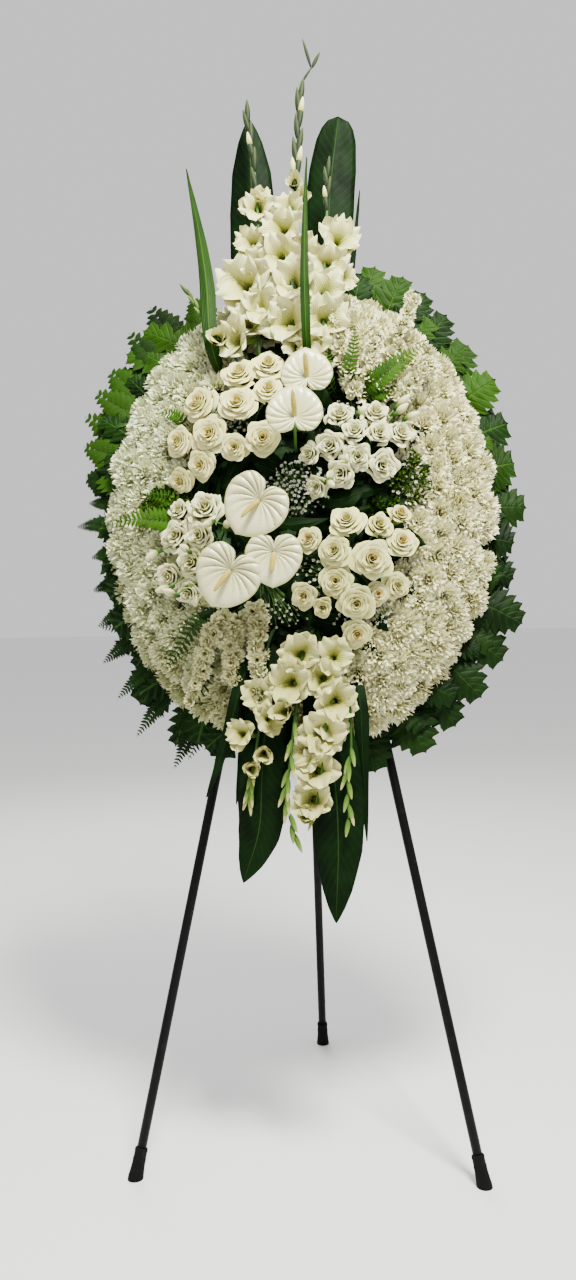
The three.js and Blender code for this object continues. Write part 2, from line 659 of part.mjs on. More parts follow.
// Point over the foam: share round the oval, distance inward from its rim and height above it
function overFoam(share, inward, height) {
  const angle = ovalAngle(share);
  const ray = new THREE.Vector2(foamHalfWidth * Math.cos(angle), foamHalfHeight * Math.sin(angle)).normalize();
  const reach = 1 / Math.hypot(ray.x / (foamHalfWidth - inward), ray.y / (foamHalfHeight - inward));
  const [x, z] = [ray.x * reach, ray.y * reach];
  const out = foamFront(x, z);
  const normal = spot(x / foamHalfWidth ** 2, z / foamHalfHeight ** 2, (out - foamEdge) / foamRise ** 2);
  normal.normalize();
  return { place: spot(x, z, out).addScaledVector(normal, height), normal };
}

// Carnations side by side over one sector of the dome: each is a ruffled head raised within its
// own cell, and neighbouring heads share the valley between them
const carnationDraw = seededDraw(51);
function carnationSector(sector) {
  const corners = new Map();
  const points = [];
  const faces = [];
  const edges = new Map();
  const slack = (share) => share + (sector / cushionSectors === share ? 1 : -1) * 0.0001;
  const sectorEdge = [sector / cushionSectors, (sector + 1) / cushionSectors];
  const corner = (inward, share) => {
    const key = `${inward} ${share.toFixed(5)}`;
    if (!corners.has(key)) {
      const atEdge = sectorEdge.some((edge) => Math.abs(edge - share) < 1e-6);
      const inset = atEdge ? slack(sectorEdge.find((edge) => Math.abs(edge - share) < 1e-6)) : share;
      corners.set(key, points.length);
      const uneven = atEdge ? 0 : carnationDraw(-1.5, 1.5);
      points.push(overFoam(inset, inward, bloomValley + uneven).place);
      points.push(overFoam(inset, inward, bloomUnderside).place);
    }
    return corners.get(key);
  };
  const shares = (row) => {
    const { count } = bloomRows[row];
    const cells = count / cushionSectors;
    return Array.from({ length: cells + 1 }, (_, i) => sectorEdge[0] + i / count);
  };
  const lineShares = (line) => {
    const all = [line > 0 ? shares(line - 1) : [], line < sectorRows[sector] ? shares(line) : []].flat();
    if (line === 0) all.push(...shares(0).slice(1).map((share) => share - 0.5 / bloomRows[0].count));
    return all.sort((a, b) => a - b).filter((share, i) => i === 0 || share - all[i - 1] > 1e-6);
  };
  bloomRows.slice(0, sectorRows[sector]).forEach(({ from, to, middle, count }, row) => {
    shares(row).slice(1).forEach((end) => {
      const start = end - 1 / count;
      const within = (share) => share > start - 1e-6 && share < end + 1e-6;
      const { place, normal } = overFoam((start + end) / 2, middle, 0);
      const tangent = overFoam(end, middle, 0).place.sub(place).projectOnPlane(normal).normalize();
      const rising = normal.clone().cross(tangent);
      const angleOf = (index) => {
        const offset = points[index].clone().sub(place);
        return Math.atan2(offset.dot(rising), offset.dot(tangent));
      };
      const cell = [
        ...lineShares(row).filter(within).map((share) => corner(from, share)),
        ...lineShares(row + 1).filter(within).map((share) => corner(to, share)),
        corner(middle, start),
        corner(middle, end),
      ];
      cell.sort((a, b) => angleOf(a) - angleOf(b));
      const twist = carnationDraw(0, 0.7);
      const frill = Array.from({ length: bloomFrills }, (_, i) => {
        const angle = -Math.PI + ((i + twist) * 2 * Math.PI) / bloomFrills;
        const sign = i % 2 ? 1 : -1;
        const reach = bloomRadius * (0.66 + 0.09 * sign) * carnationDraw(0.92, 1.08);
        points.push(place.clone()
          .addScaledVector(tangent, reach * Math.cos(angle))
          .addScaledVector(rising, reach * Math.sin(angle))
          .addScaledVector(normal, bloomHeight * (0.7 + 0.12 * sign) * carnationDraw(0.93, 1.07)));
        return points.length - 1;
      });
      points.push(place.clone().addScaledVector(normal, bloomHeight * carnationDraw(0.94, 1.1)));
      const heart = points.length - 1;
      points.push(place.clone().addScaledVector(normal, bloomUnderside));
      const under = points.length - 1;
      let [i, j] = [0, 0];
      const turn = (list, index) => angleOf(list[index % list.length]) + (index < list.length ? 0 : 2 * Math.PI);
      while (i < cell.length || j < frill.length) {
        const a = cell[i % cell.length];
        const b = frill[j % frill.length];
        if (j >= frill.length || (i < cell.length && turn(cell, i + 1) < turn(frill, j + 1))) {
          faces.push([a, cell[(i + 1) % cell.length], b]);
          i += 1;
        } else {
          faces.push([a, frill[(j + 1) % frill.length], b]);
          j += 1;
        }
      }
      frill.forEach((index, k) => faces.push([index, frill[(k + 1) % frill.length], heart]));
      cell.forEach((index, k) => {
        const next = cell[(k + 1) % cell.length];
        faces.push([next + 1, index + 1, under]);
        edges.set(`${index} ${next}`, [index, next]);
      });
    });
  });
  for (const [a, b] of edges.values()) {
    if (!edges.has(`${b} ${a}`)) faces.push([b, a, a + 1], [b, a + 1, b + 1]);
  }
  return { points, faces };
}
for (let sector = 0; sector < cushionSectors; sector += 1) {
  const cover = carnationSector(sector);
  const pegs = [[0.25, 30], [0.75, 80]].map(([part, inward]) => {
    const share = (sector + part) / cushionSectors;
    return rod([overFoam(share, inward, -34).place, overFoam(share, inward, 12).place], [3, 3], 3);
  });
  addPiece(`carnations_${sector + 1}`, looks.carnation, [cover, ...pegs], { rooted: pegs });
}

function largest(solid) {
  const bodies = solid.decompose();
  return bodies.reduce((best, next) => (next.volume() > best.volume() ? next : best));
}

// Collar of leaves round the rim, each bunch on one bent stem pegged into the foam's edge.
// A tip is x, z and out, with half width and lobes.
const collarBunches = {
  left_top: [[-196, 418, 12, 30, 3], [-275, 404, 16, 34, 4], [-312, 352, 24, 28, 3], [-350, 284, 12, 34, 4]],
  left_upper: [[-372, 240, 22, 30, 3], [-394, 200, 10, 30, 3], [-392, 140, 20, 32, 3], [-390, 84, 10, 32, 3]],
  left_lower: [[-380, 34, 22, 26, 3], [-404, -6, 10, 28, 5], [-374, -66, 20, 26, 4], [-372, -124, 10, 28, 4],
    [-360, -190, 20, 26, 4]],
  left_bottom: [[-352, -254, 12, 28, 4], [-322, -318, 22, 26, 3], [-290, -384, 12, 28, 4],
    [-222, -440, 20, 28, 4], [-150, -446, 12, 24, 3]],
  right_top: [[140, 466, 12, 32, 3], [190, 440, 22, 30, 3], [230, 410, 12, 28, 3], [266, 362, 22, 30, 3]],
  right_upper: [[304, 308, 12, 38, 3], [348, 238, 22, 34, 3], [368, 160, 12, 36, 3], [376, 84, 22, 36, 3]],
  right_lower: [[394, 6, 12, 34, 3], [370, -58, 22, 30, 4], [368, -120, 12, 30, 4], [380, -200, 22, 32, 4]],
  right_bottom: [[346, -262, 12, 34, 3], [306, -326, 22, 32, 3], [262, -374, 12, 32, 3], [210, -418, 22, 34, 3],
    [124, -450, 12, 34, 3]],
};
const rimOut = 9;
function rimSpot(angle, out = rimOut, beyond = 7) {
  return spot((foamHalfWidth + beyond) * Math.cos(angle), (foamHalfHeight + beyond) * Math.sin(angle), out);
}
for (const [name, tips] of Object.entries(collarBunches)) {
  const angles = tips.map(([x, z]) => Math.atan2(z / foamHalfHeight, x / foamHalfWidth));
  const turns = angles.map((angle) => {
    const offset = angle - angles[0];
    return angles[0] + Math.atan2(Math.sin(offset), Math.cos(offset));
  });
  const from = turns[0];
  const to = turns[turns.length - 1];
  const bends = tips.length + 1;
  const stemAngles = Array.from({ length: bends + 1 }, (_, i) => from + ((to - from) * i) / bends);
  const forms = [rod(stemAngles.map((angle) => rimSpot(angle)), stemAngles.map(() => 3.2), 3)];
  for (const share of [0.15, 0.85]) {
    const angle = from + (to - from) * share;
    forms.push(rod([rimSpot(angle, rimOut, -24), rimSpot(angle, rimOut, 8)], [2.6, 2.6], 3));
  }
  tips.forEach(([x, z, out, half, lobes], index) => {
    const angle = turns[index];
    const root = rimSpot(angle, rimOut, 4);
    const tip = spot(x, z, out);
    const bend = root.clone().lerp(tip, 0.5).add(spot(0, 0, index % 2 ? 6 : 2));
    forms.push(blade([root, bend, tip], towardsViewer, cutLeaf(half, lobes, { stalk: 0.14, sweep: 8, widest: 0.6 })));
  });
  addPiece(`collar_${name}`, looks.freshLeaf, forms);
}

// Settle the pieces: where two would meet, the later one is cut clear of the earlier one
const settled = [];
const nearby = (one, other) => {
  const [a, b] = [one.boundingBox(), other.boundingBox()];
  return [0, 1, 2].every((axis) => a.min[axis] < b.max[axis] && b.min[axis] < a.max[axis]);
};
const meets = (one, other) => nearby(one, other) && one.intersect(other).volume() > leastOverlap;
function cutClear(body, forms) {
  const standing = fuse(forms);
  if (!meets(body, standing)) return body;
  let rest = body;
  for (const amount of clearances) {
    rest = rest.subtract(fuse(forms.map((form) => swell(form, amount))));
    if (!meets(rest, standing)) break;
  }
  return rest;
}
let foam = toSolid(foamForm());
for (const piece of pieces) {
  let body = piece.body ?? fuse(piece.forms);
  for (const other of settled) body = cutClear(body, other.forms);
  settled.push({ ...piece, body: largest(body).simplify(finestDetail) });
  for (const form of piece.rooted ?? piece.forms) foam = cutClear(foam, [form]);
}
settled.push({ name: 'foam_pad', look: looks.foam, body: largest(foam).simplify(finestDetail) });

// Board behind the foam
const ovalShape = new THREE.Shape();
ovalShape.absellipse(0, 0, boardHalfWidth, boardHalfHeight, 0, 2 * Math.PI);
const boardGeometry = new THREE.ExtrudeGeometry(ovalShape, {
  depth: boardThickness, bevelEnabled: false, curveSegments: 16,
});
const facingBack = new THREE.Matrix4().makeRotationX(Math.PI / 2).setPosition(0, boardThickness, 0);
settled.push({ name: 'base_board', look: looks.board, body: toSolid(formOf(boardGeometry, facingBack)) });

// Stand head with pegs for the front legs and lugs for the rear leg
const frontLegHalf = (z) => (frontFoot.x * (legMeeting - z)) / (legMeeting + 1120);
const legFront = -10.3;
const legBack = -26.3;
const headForms = [block(spot(-26, legTop, legFront), spot(26, 300, legBack))];
for (const side of [-1, 1]) {
  const upper = spot(side * frontLegHalf(legTop + 8), legTop + 8, legPlane);
  const lower = spot(side * frontLegHalf(legTop - 40), legTop - 40, legPlane);
  headForms.push(rod([upper, lower], [6, 6], legSides));
  headForms.push(block(spot(side * 9.1, 275, legBack + 5), spot(side * 14.5, 297, -50)));
}
const pinBore = toSolid(rod([spot(-20, hingeHeight, hingeDepth), spot(20, hingeHeight, hingeDepth)],
  [pinRadius + 0.45, pinRadius + 0.45], legSides));
settled.push({ name: 'stand_head', look: looks.blackMetal, body: fuse(headForms).subtract(pinBore) });
const pinProfile = [[0, -18], [5, -18], [5, -14.8], [3, -14.8], [3, 14.8], [5, 14.8], [5, 18], [0, 18]];
const hinge = spot(0, hingeHeight, hingeDepth);
settled.push({
  name: 'hinge_pin',
  look: looks.steel,
  body: toSolid(turned(pinProfile, hinge, hinge.clone().add(spot(1, 0, 0)))),
});

// Saddle clips that hold the board to the front legs
for (const [place, height] of [['upper', 110], ['lower', -290]]) {
  for (const side of [-1, 1]) {
    const outline = new THREE.Shape();
    const [flange, thick, inner, outer] = [24, 2, 8.7, 10.9];
    outline.moveTo(-flange, 0);
    outline.lineTo(-inner, 0);
    outline.lineTo(-inner, -8);
    for (let i = 1; i <= 5; i += 1) {
      const angle = Math.PI + (i * Math.PI) / 6;
      outline.lineTo((inner * Math.cos(angle)) / 0.97, -8 + (inner * Math.sin(angle)) / 0.97);
    }
    outline.lineTo(inner, -8);
    outline.lineTo(inner, 0);
    outline.lineTo(flange, 0);
    outline.lineTo(flange, -thick);
    outline.lineTo(outer, -thick);
    outline.lineTo(outer, -8);
    for (let i = 5; i >= 1; i -= 1) {
      const angle = Math.PI + (i * Math.PI) / 6;
      outline.lineTo(outer * Math.cos(angle), -8 + outer * Math.sin(angle));
    }
    outline.lineTo(-outer, -8);
    outline.lineTo(-outer, -thick);
    outline.lineTo(-flange, -thick);
    const strap = new THREE.ExtrudeGeometry(outline, { depth: 18, bevelEnabled: false });
    const upward = spot(-side * frontFoot.x, legMeeting + 1120, 0).normalize();
    const outward = spot(0, 0, 1);
    const across = outward.clone().cross(upward);
    const seat = new THREE.Matrix4().makeBasis(across, outward, upward);
    seat.setPosition(spot(side * frontLegHalf(height), height, legFront));
    const name = `clip_${place}_${side < 0 ? 'left' : 'right'}`;
    settled.push({ name, look: looks.steel, body: toSolid(formOf(strap, seat)) });
  }
}

// Legs as tubes, and their rubber feet cut level with the floor
const toFloor = (solidForm) => ({
  points: solidForm.points.map((corner) => corner.clone().applyMatrix4(cushionPlace)),
  faces: solidForm.faces,
});
const standing = [];
function leg(name, top, foot) {
  const along = foot.clone().sub(top);
  const length = along.length();
  const inset = 26;
  const tube = [[legBore, 0], [legRadius, 0], [legRadius, length - inset], [legBore, length - inset], [legBore, 0]];
  standing.push({ name: `leg_${name}`, look: looks.blackMetal, body: toSolid(turned(tube, top, foot)) });
  const up = top.clone().sub(foot).normalize();
  const start = foot.clone().addScaledVector(up, -8);
  const cup = [[0, 0], [13, 0], [10.6, 28], [10.3, 56], [8.6, 56], [8.6, 33], [0, 33]];
  const floorCut = block(new THREE.Vector3(-900, -900, -60), new THREE.Vector3(900, 900, 0));
  const ferrule = toSolid(turned(cup, start, foot.clone().add(up))).subtract(toSolid(floorCut));
  standing.push({ name: `foot_${name}`, look: looks.rubber, body: largest(ferrule) });
}
const legTopSpot = (side) => {
  const z = legTop - 2.2;
  return spot(side * frontLegHalf(z), z, legPlane).applyMatrix4(cushionPlace);
};
leg('front_left', legTopSpot(-1), new THREE.Vector3(-frontFoot.x, frontFoot.y, 0));
leg('front_right', legTopSpot(1), frontFoot.clone());
const hingeOnFloor = hinge.clone().applyMatrix4(cushionPlace);
const rearDown = rearFoot.clone().sub(hingeOnFloor).normalize();
leg('rear', hingeOnFloor.clone().addScaledVector(rearDown, 25), rearFoot.clone());

// Knuckle of the rear leg, turning on the pin
const rearAcross = new THREE.Vector3(1, 0, 0);
const rearBack = rearAcross.clone().cross(rearDown);
const knucklePlace = new THREE.Matrix4().makeBasis(rearAcross, rearBack, rearDown).setPosition(hingeOnFloor);
const knuckleBlock = formOf(new THREE.BoxGeometry(17.4, 16, 33), knucklePlace.clone()
  .multiply(new THREE.Matrix4().setPosition(0, 0, 7.5)));
const plug = rod([16, 64].map((along) => hingeOnFloor.clone().addScaledVector(rearDown, along)), [6, 6], legSides);
const boreEnds = [-20, 20].map((x) => hingeOnFloor.clone().add(new THREE.Vector3(x, 0, 0)));
const knuckleBore = toSolid(rod(boreEnds, [pinRadius + 0.45, pinRadius + 0.45], legSides));
standing.push({
  name: 'rear_leg_knuckle',
  look: looks.blackMetal,
  body: fuse([knuckleBlock, plug]).subtract(knuckleBore),
});

// Scene graph
function meshOf({ name, look, body }) {
  const { numProp, vertProperties, triVerts } = body.getMesh();
  const geometry = new THREE.BufferGeometry();
  const corners = new Float32Array((vertProperties.length / numProp) * 3);
  for (let i = 0; i < corners.length / 3; i += 1) {
    for (let k = 0; k < 3; k += 1) corners[3 * i + k] = vertProperties[numProp * i + k];
  }
  geometry.setAttribute('position', new THREE.BufferAttribute(corners, 3));
  geometry.setIndex(Array.from(triVerts));
  geometry.computeVertexNormals();
  const mesh = new THREE.Mesh(geometry, new THREE.MeshStandardMaterial(look));
  mesh.name = name;
  return mesh;
}
const wreathOnStand = new THREE.Group();
const leaning = new THREE.Group();
leaning.rotation.x = -leanAngle;
leaning.position.copy(cushionCentre);
settled.forEach((piece) => leaning.add(meshOf(piece)));
wreathOnStand.add(leaning);
standing.forEach((piece) => wreathOnStand.add(meshOf(piece)));

export default wreathOnStand;
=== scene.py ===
import json
import math

import bpy
import numpy as np
from mathutils import Matrix, Vector

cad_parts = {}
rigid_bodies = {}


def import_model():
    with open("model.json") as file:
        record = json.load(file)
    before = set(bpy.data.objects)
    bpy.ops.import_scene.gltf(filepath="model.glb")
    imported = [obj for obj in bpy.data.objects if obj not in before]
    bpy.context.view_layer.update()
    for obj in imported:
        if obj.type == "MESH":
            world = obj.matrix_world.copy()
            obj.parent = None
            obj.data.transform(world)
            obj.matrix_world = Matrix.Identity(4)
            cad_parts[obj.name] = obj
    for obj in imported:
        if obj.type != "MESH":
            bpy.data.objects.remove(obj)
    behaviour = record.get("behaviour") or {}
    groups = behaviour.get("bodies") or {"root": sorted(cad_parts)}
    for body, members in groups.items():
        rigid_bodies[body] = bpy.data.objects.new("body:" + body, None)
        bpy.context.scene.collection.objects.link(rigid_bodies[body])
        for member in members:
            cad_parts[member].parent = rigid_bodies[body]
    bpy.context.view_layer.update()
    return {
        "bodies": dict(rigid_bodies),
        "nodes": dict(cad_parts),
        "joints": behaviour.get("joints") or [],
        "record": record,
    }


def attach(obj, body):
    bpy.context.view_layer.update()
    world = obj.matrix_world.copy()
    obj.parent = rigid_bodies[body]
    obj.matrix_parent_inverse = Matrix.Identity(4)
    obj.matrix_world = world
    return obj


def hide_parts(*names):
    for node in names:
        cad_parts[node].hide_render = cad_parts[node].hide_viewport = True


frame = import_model()
flowerBody = "frame_and_flowers"
legBody = "rear_leg"
print("frame loaded")

# The cushion leans back. Places on it are x to the right, z up its face and out to the viewer, in mm.
cushion = {
    "lean": 10.0,
    "centre": (0.0, -0.0565, 1.1062),
    "foamHalf": (305.0, 380.0),
    "foamEdge": 22.0,
    "foamRise": 80.0,
}
lean = math.radians(cushion["lean"])
cushionAxes = np.array([
    [1.0, 0.0, 0.0],
    [0.0, math.sin(lean), math.cos(lean)],
    [0.0, -math.cos(lean), math.sin(lean)],
])


def unit(vector):
    return vector / np.linalg.norm(vector)


def unitRows(vectors):
    return vectors / np.linalg.norm(vectors, axis=1)[:, None]


def toFloor(points):
    return np.asarray(points, float) @ cushionAxes * 0.001 + np.array(cushion["centre"])


def foamFront(x, z):
    reach = np.hypot(np.asarray(x) / cushion["foamHalf"][0], np.asarray(z) / cushion["foamHalf"][1])
    return cushion["foamEdge"] + cushion["foamRise"] * np.sqrt(np.maximum(0, 1 - reach * reach))


def overFoam(angle, inward, height):
    # Point over the foam along a ray, at a distance inward from the rim, and the way it faces
    halfX, halfZ = cushion["foamHalf"]
    ray = unit(np.array([halfX * math.cos(angle), halfZ * math.sin(angle)]))
    reach = 1 / math.hypot(ray[0] / (halfX - inward), ray[1] / (halfZ - inward))
    x, z = ray * reach
    out = float(foamFront(x, z))
    steep = (out - cushion["foamEdge"]) / cushion["foamRise"] ** 2
    normal = unit(np.array([x / halfX ** 2, z / halfZ ** 2, steep]))
    return np.array([x, z, out]) + normal * height, normal


def ovalAngles(count, start=0.0):
    # Angles at even distances round the foam's rim
    steps = np.linspace(0, 2 * math.pi, 1441)
    middle = (steps[1:] + steps[:-1]) / 2
    halfX, halfZ = cushion["foamHalf"]
    stride = np.hypot(halfX * np.sin(middle), halfZ * np.cos(middle))
    length = np.concatenate([[0], np.cumsum(stride)])
    wanted = ((np.arange(count) + start) / count % 1) * length[-1]
    return np.interp(wanted, length, steps)


class Sheets:
    # Grids of points that become one mesh. Marks say where a point lies on its petal or leaf.
    def __init__(self):
        self.points, self.faces, self.total = [], [], 0
        self.marks = {"along": [], "across": [], "shade": [], "layer": []}

    def add(self, grid, shade=0.5, layer=0.0, closed=False, caps=False):
        rows, cols = grid.shape[:2]
        ids = np.arange(rows * cols).reshape(rows, cols) + self.total
        left = ids if closed else ids[:, :-1]
        right = np.roll(ids, -1, axis=1) if closed else ids[:, 1:]
        quads = np.stack([left[:-1], right[:-1], right[1:], left[1:]], axis=-1)
        self.faces.extend(quads.reshape(-1, 4).tolist())
        if caps:
            self.faces.extend([ids[0, ::-1].tolist(), ids[-1].tolist()])
        ones = np.ones((rows, cols))
        self.points.append(grid.reshape(-1, 3))
        self.marks["along"].append((np.linspace(0, 1, rows)[:, None] * ones).ravel())
        self.marks["across"].append((np.linspace(-1, 1, cols)[None, :] * ones).ravel())
        self.marks["shade"].append((shade * ones).ravel())
        self.marks["layer"].append((layer * ones).ravel())
        self.total += rows * cols

    def mesh(self, name, place=toFloor):
        made = bpy.data.meshes.new(name)
        made.from_pydata(place(np.concatenate(self.points)).tolist(), [], self.faces)
        for mark, values in self.marks.items():
            attribute = made.attributes.new(mark, "FLOAT", "POINT")
            attribute.data.foreach_set("value", np.concatenate(values).astype(np.float32))
        made.shade_smooth()
        return made


def basis(facing):
    # Three unit axes, the last one facing that way
    ahead = unit(np.array(facing, float))
    up = np.array([0, 1.0, 0]) if abs(ahead[1]) < 0.95 else np.array([0, 0, 1.0])
    across = unit(np.cross(up, ahead))
    return np.array([across, np.cross(ahead, across), ahead])


def ease(values, low, high):
    share = np.clip((values - low) / (high - low), 0, 1)
    return share * share * (3 - 2 * share)


def curveThrough(path, places):
    # Smooth curve through the points, read at shares of its length in points
    path = np.asarray(path, float)
    last = len(path) - 1
    places = np.clip(np.asarray(places, float), 0, 1) * last
    k = np.minimum(places.astype(int), last - 1)
    t = (places - k)[:, None]
    slopes = np.gradient(path, axis=0) if last > 1 else np.repeat(path[1:] - path[:1], 2, axis=0)
    a, b, p, q = path[k], path[k + 1], slopes[k], slopes[k + 1]
    return (
        (2 * t ** 3 - 3 * t ** 2 + 1) * a + (t ** 3 - 2 * t ** 2 + t) * p
        + (3 * t ** 2 - 2 * t ** 3) * b + (t ** 3 - t ** 2) * q
    )


def addTube(sheets, path, radii, sides=8, shade=0.5, layer=0.0):
    path = np.asarray(path, float)
    tangents = unitRows(np.gradient(path, axis=0))
    across = basis(tangents[0])[0]
    turns = np.arange(sides) * 2 * math.pi / sides
    rings = []
    for centre, tangent, radius in zip(path, tangents, radii):
        across = unit(across - tangent * across.dot(tangent))
        upward = np.cross(tangent, across)
        rings.append(centre + radius * (np.cos(turns)[:, None] * across + np.sin(turns)[:, None] * upward))
    sheets.add(np.array(rings), shade, layer, closed=True, caps=True)


def addStem(sheets, path, thick, thin, count=9, sides=6):
    places = np.linspace(0, 1, count)
    addTube(sheets, curveThrough(path, places), thick + (thin - thick) * places, sides)


# Flower heads, in shares of their radius. A golden turn spreads petals, florets and heads evenly.
goldenTurn = 2.4
roseShape = {
    "petals": 22, "rows": 8, "cols": 11, "ruffle": 0.03, "open": 0.94, "tall": 0.62, "sink": 0.72, "point": 0.2,
}
budRose = {**roseShape, "petals": 15, "open": 0.74, "tall": 0.85, "sink": 0.9}
lisianthusShape = {
    **roseShape, "petals": 15, "ruffle": 0.085, "open": 0.97, "tall": 0.55, "sink": 0.8, "point": 0.0,
}


def addRose(sheets, centre, facing, radius, draw, shape=roseShape):
    v = np.linspace(0, 1, shape["rows"])[:, None]
    u = np.linspace(-1, 1, shape["cols"])[None, :]
    axes, tone, start = basis(facing), draw.uniform(0, 1), draw.uniform(0, 6.28)
    for k in range(shape["petals"]):
        t = k / (shape["petals"] - 1)
        turn = start + goldenTurn * k + draw.uniform(-0.2, 0.2)
        span = 1.6 - 0.68 * t  # inner petals wrap further round
        top = (0.08 + 0.86 * t ** 0.85) * shape["open"] * draw.uniform(0.95, 1.05)
        foot = 0.04 + 0.24 * t
        tall = shape["tall"] - 0.55 * t ** 1.4 + draw.uniform(-0.04, 0.04)
        roll = t * ease(v, 0.66, 1)
        reach = foot + (top - foot) * v ** (0.8 - 0.35 * t) + 0.1 * roll
        reach = reach + shape["point"] * t * (1 - np.abs(u)) ** 1.4 * ease(v, 0.55, 1)
        reach = reach - 0.5 * shape["point"] * t * u * u * ease(v, 0.55, 1)
        theta = turn - span * u * (0.5 + 0.5 * np.sin(math.pi / 2 * np.minimum(1, 1.4 * v)))
        rise = -shape["sink"] + (tall + shape["sink"]) * np.sin(math.pi / 2 * v ** 0.85)
        rise = rise - 0.17 * roll - (0.05 + 0.2 * t) * u ** 4 * v + 0.05 * t * (1 - u * u) * ease(v, 0.8, 1)
        waves = shape["ruffle"] * np.sin(5 * u + draw.uniform(0, 6)) * v ** 2
        reach = reach + waves * (0.4 + t)
        grid = np.stack([reach * np.cos(theta), reach * np.sin(theta), rise + waves], axis=-1)
        sheets.add(centre + radius * (grid @ axes), tone, t)


# A ring is petal count, reach, rise of the tips, half width and share of a fan shape
carnationShape = {
    "rings": [(9, 1.0, 0.0, 0.44, 1), (9, 0.9, 0.22, 0.42, 1), (8, 0.74, 0.4, 0.38, 1),
              (7, 0.54, 0.54, 0.33, 1), (5, 0.3, 0.6, 0.27, 1), (3, 0.12, 0.62, 0.2, 1)],
    "grid": (4, 8), "throat": 0.03, "depth": 0.5, "flare": 0.85, "curl": 0.06, "ruffle": 0.2, "fringe": 0.06,
}
gladiolusShape = {
    "rings": [(3, 1.0, -0.02, 0.66, 0.3), (3, 0.9, 0.12, 0.6, 0.3)],
    "grid": (9, 9), "throat": 0.06, "depth": 0.95, "flare": 1.35, "curl": 0.16, "ruffle": 0.15, "fringe": 0.0,
}
halfOpenShape = {
    "rings": [(3, 0.66, 0.5, 0.5, 0.2), (3, 0.46, 0.55, 0.46, 0.2)],
    "grid": (8, 7), "throat": 0.08, "depth": 1.1, "flare": 1.3, "curl": 0.08, "ruffle": 0.07, "fringe": 0.0,
}
stockShape = {
    "rings": [(5, 1.0, -0.05, 0.5, 0.6), (5, 0.72, 0.22, 0.4, 0.6), (4, 0.4, 0.42, 0.3, 0.6)],
    "grid": (4, 5), "throat": 0.04, "depth": 0.7, "flare": 1.0, "curl": 0.16, "ruffle": 0.16, "fringe": 0.03,
}
tinyShape = {
    "rings": [(5, 1.0, 0.1, 0.5, 0.5), (5, 0.6, 0.5, 0.42, 0.5)],
    "grid": (3, 3), "throat": 0.05, "depth": 0.6, "flare": 1.0, "curl": 0.1, "ruffle": 0.1, "fringe": 0.0,
}


def addFlower(sheets, centre, facing, radius, draw, shape):
    rows, cols = shape["grid"]
    v = np.linspace(0, 1, rows)[:, None]
    u = np.linspace(-1, 1, cols)[None, :]
    teeth = (np.arange(cols) % 2 * 2 - 1)[None, :] * ease(v, 0.6, 1)
    axes, start, tone = basis(facing), draw.uniform(0, 6.28), draw.uniform(0, 1)
    for ring, (count, reach, rise, half, fan) in enumerate(shape["rings"]):
        for k in range(count):
            turn = start + (k + 0.5 * ring) * 2 * math.pi / count + draw.uniform(-0.12, 0.12)
            size = draw.uniform(0.9, 1.08)
            away = shape["throat"] + (reach * size - shape["throat"]) * v ** shape["flare"]
            lift = -shape["depth"] + (shape["depth"] + rise) * v ** 0.65 - shape["curl"] * v ** 4
            width = half * ((1 - fan) * np.sin(math.pi * (0.06 + 0.9 * v ** 0.85)) ** 0.7 + fan * v ** 0.8)
            waves = shape["ruffle"] * np.sin(5.2 * u + draw.uniform(0, 6.28)) * v ** 1.5
            droop = 0.35 * half * u * u * (1 - 0.6 * v)
            outer = away + shape["fringe"] * teeth * draw.uniform(0.5, 1.5, (1, cols)) + 0.3 * waves
            outer = outer - 0.1 * reach * u * u * v
            side = -u * width
            c, s = math.cos(turn), math.sin(turn)
            rise3 = lift + droop + waves
            grid = np.stack([c * outer - s * side, s * outer + c * side, rise3 + 0 * side], axis=-1)
            sheets.add(centre + radius * (grid @ axes), tone, ring / max(1, len(shape["rings"]) - 1))


def addBud(sheets, base, tip, radius, sides=10, shade=0.5, layer=1.0):
    places = np.linspace(0, 1, 9)
    base, tip = np.asarray(base, float), np.asarray(tip, float)
    path = base + (tip - base) * places[:, None]
    addTube(sheets, path, radius * np.sin(math.pi * (0.05 + 0.9 * places ** 0.85)) ** 0.85, sides, shade, layer)


# Leaves

def addLeaf(sheets, path, halfWidths, rows=26, cols=7, face=(0, 0, 1), fold=0.12, sweep=None, shade=0.5,
            wave=0.0):
    v = np.linspace(0, 1, rows)
    u = np.linspace(-1, 1, cols)[None, :, None]
    middle = curveThrough(path, v)
    along = unitRows(np.gradient(middle, axis=0))
    across = unitRows(np.cross(along, np.asarray(face, float)))
    normal = np.cross(across, along)
    half = np.asarray(halfWidths(v))[:, None, None]
    grid = middle[:, None] + across[:, None] * u * half
    grid = grid + normal[:, None] * (half * fold * (1 - 1.6 * np.abs(u)))
    if wave:
        ripple = np.sin(9 * v[:, None, None] + 2 * u + 7 * shade)
        grid = grid + normal[:, None] * wave * ripple * np.abs(u) ** 1.5
    if sweep is not None:
        grid = grid + along[:, None] * np.asarray(sweep(v))[:, None, None] * np.abs(u)
    sheets.add(grid, shade)


def paddleWidth(half, blunt=0.0):
    places = [0, 0.05, 0.16, 0.3, 0.46, 0.62, 0.78, 0.9, 0.955, 0.985, 1]
    widths = [0.05, 0.08, 0.12, 0.62, 0.96, 1, 0.86 + 0.1 * blunt, 0.54 + 0.28 * blunt, 0.3 + 0.34 * blunt,
              0.12 + 0.3 * blunt, 0.01]
    return lambda v: half * np.interp(v, places, widths)


def strapWidth(half):
    places = [0, 0.02, 0.2, 0.45, 0.7, 0.9, 1]
    return lambda v: half * np.interp(v, places, [0.2, 0.25, 0.8, 1, 0.7, 0.3, 0.01])


cutLeaf = {"crest": 0.42, "tipShare": 0.97, "teeth": 0.09, "sweep": 9.0, "fold": 0.1, "wave": 2.2}


